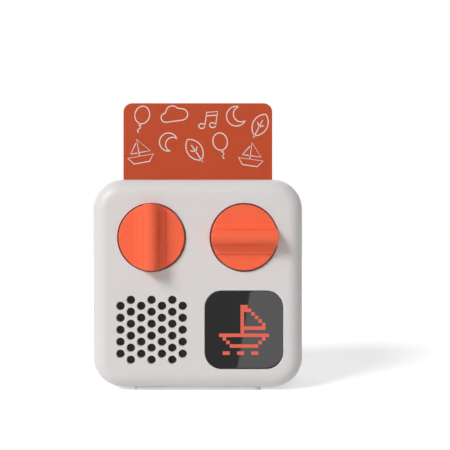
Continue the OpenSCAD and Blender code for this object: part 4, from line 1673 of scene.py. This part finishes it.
@dataclass
class PowerButton:
    """Round side button with a softly dished face and a flange inside the wall."""

    centre: Pair = (middle("power_button", 1), middle("power_button", 2))
    radius: float = 3.25
    flange_r: float = 4.25
    flange_t: float = 0.8
    inner_x: float = 32.1
    face_x: float = 35.6
    edge: float = 0.5
    dish_rings: tuple[float, ...] = (2.5, 2.2, 1.8, 1.3, 0.8, 0.3)
    dish: float = 0.25

    def build(self) -> None:
        """Build the button and hang it on its body."""
        seat = self.inner_x + self.flange_t
        profile = [(self.flange_r, self.inner_x), (self.flange_r, seat), (self.radius, seat)]
        profile += [(self.radius - self.edge * (1 - cosine), self.face_x - self.edge * (1 - sine))
                    for sine, cosine in arch(6)]
        profile += [(radius, self.face_x - self.dish * (1 - (radius / self.dish_rings[0]) ** 2))
                    for radius in self.dish_rings]
        solid = swept("button_solid", Facing.SIDE, (0.0, *self.centre), profile,
                      lambda radius: circle(radius, steps=64))
        button = baked(solid, "side_button", BUTTON)
        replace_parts(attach(button, "power_button"), "power_button")
        report(button)


def dress_carried_nodes() -> None:
    """Put a finish on each material slot of the CAD nodes, which keep their own shape."""
    for name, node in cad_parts.items():
        for number, slot in enumerate(node.data.materials):
            finish = OWN_FINISHES.get(name) or SLOT_FINISHES[slot.name.split(".")[0]]
            node.data.materials[number] = finish.material()
        LOG.info("%s: CAD solid, %d faces", name, len(node.data.polygons))


# ------------------------------------------------------------------- studio


@dataclass(frozen=True)
class Sun:
    """A broad, even light from an angle left of the front and an angle above the floor."""

    name: str
    strength: float
    left: float
    rise: float
    softness: float

    def build(self) -> None:
        """Add the light."""
        data = bpy.data.lights.new(self.name, "SUN")
        data.energy, data.angle = self.strength, math.radians(self.softness)
        side, up = math.radians(self.left), math.radians(self.rise)
        towards = Vector((-math.sin(side) * math.cos(up), -math.cos(side) * math.cos(up),
                          math.sin(up)))
        linked(self.name, data).rotation_euler = towards.to_track_quat("Z", "Y").to_euler()


@dataclass
class Studio:
    """Pale floor, soft lights and the camera."""

    camera_place: Point = (0.0, -0.2455, 0.048)
    lens: float = 55.5
    sensor: float = 36.0
    shift: Pair = (0.0604, 0.0476)
    clip: Pair = (0.01, 20.0)
    floor_half: float = 3000.0
    fill: float = 0.20
    suns: tuple[Sun, ...] = (
        Sun("key", 2.12, 46.0, 33.0, 22.0), Sun("front_fill", 0.24, 10.0, 12.0, 60.0),
        Sun("back_fill", 0.6, 172.0, 28.0, 80.0))
    strip_glow: float = 3.0
    strip_size: Pair = (0.05, 0.07)
    strip_edge: Point = (0.0170, -0.045, 0.0175)
    strip_tilt: float = 9.4

    def build(self) -> None:
        """Build the whole studio."""
        self._camera()
        self._floor()
        self._world()
        for sun in self.suns:
            sun.build()
        self._window_strip()

    def _camera(self) -> None:
        """Place the camera level in front of the object."""
        data = bpy.data.cameras.new("camera")
        data.lens, data.sensor_width = self.lens, self.sensor
        data.shift_x, data.shift_y = self.shift
        data.clip_start, data.clip_end = self.clip
        camera = linked("camera", data)
        camera.location, camera.rotation_euler = self.camera_place, (QUARTER, 0.0, 0.0)
        bpy.context.scene.camera = camera

    def _floor(self) -> None:
        """Lay the pale floor."""
        corners = ((-1, -1), (1, -1), (1, 1), (-1, 1))
        floor = make_piece("floor", [(x * self.floor_half, y * self.floor_half, 0.0)
                                     for x, y in corners], [(0, 1, 2, 3)])
        floor.data.materials.append(FLOOR.material())

    def _world(self) -> None:
        """Light from all round; white where it is seen."""
        world = bpy.data.worlds.new("studio")
        world.use_nodes = True
        bpy.context.scene.world = world
        bench, ground = Bench(world.node_tree), world.node_tree.nodes["Background"]
        bench.feed(ground.inputs["Color"], (1.0, 1.0, 1.0, 1.0))
        bench.feed(ground.inputs["Strength"], bench.watched() * (1 - self.fill) + self.fill)

    def _window_strip(self) -> None:
        """Add the soft strip whose edge mirrors in the smoked window."""
        data = bpy.data.lights.new("window_strip", "AREA")
        data.shape, (data.size, data.size_y) = "RECTANGLE", self.strip_size
        data.energy = self.strip_glow * math.pi * data.size * data.size_y
        lamp = linked("window_strip", data)
        tilt, half = math.radians(self.strip_tilt), data.size / 2
        lamp.location = Vector(self.strip_edge) + Vector((
            half * math.cos(tilt), 0.0, -half * math.sin(tilt)))
        lamp.rotation_euler = (QUARTER, tilt, 0.0)
        for ray in ("camera", "diffuse", "transmission", "volume_scatter"):
            setattr(lamp, f"visible_{ray}", False)
        receivers = bpy.data.collections.new("mirror_in_window")
        receivers.objects.link(bpy.data.objects["smoked_window"])
        lamp.light_linking.receiver_collection = receivers


def main() -> None:
    """Build every piece in order."""
    logging.basicConfig(level=logging.INFO, format="%(name)s %(message)s")
    bpy.context.scene.view_settings.view_transform = "Standard"
    dress_carried_nodes()
    Housing().build()
    Knob("knob_left", "left_knob", "left_turn", -FEATURE_X, RidgeRun.UPRIGHT).build()
    Knob("knob_right", "right_knob", "right_turn", FEATURE_X, RidgeRun.LEVEL).build()
    Display().build()
    StoryCard().build()
    CoverScrews().build()
    PowerButton().build()
    Studio().build()


if __name__ == "__main__":
    main()
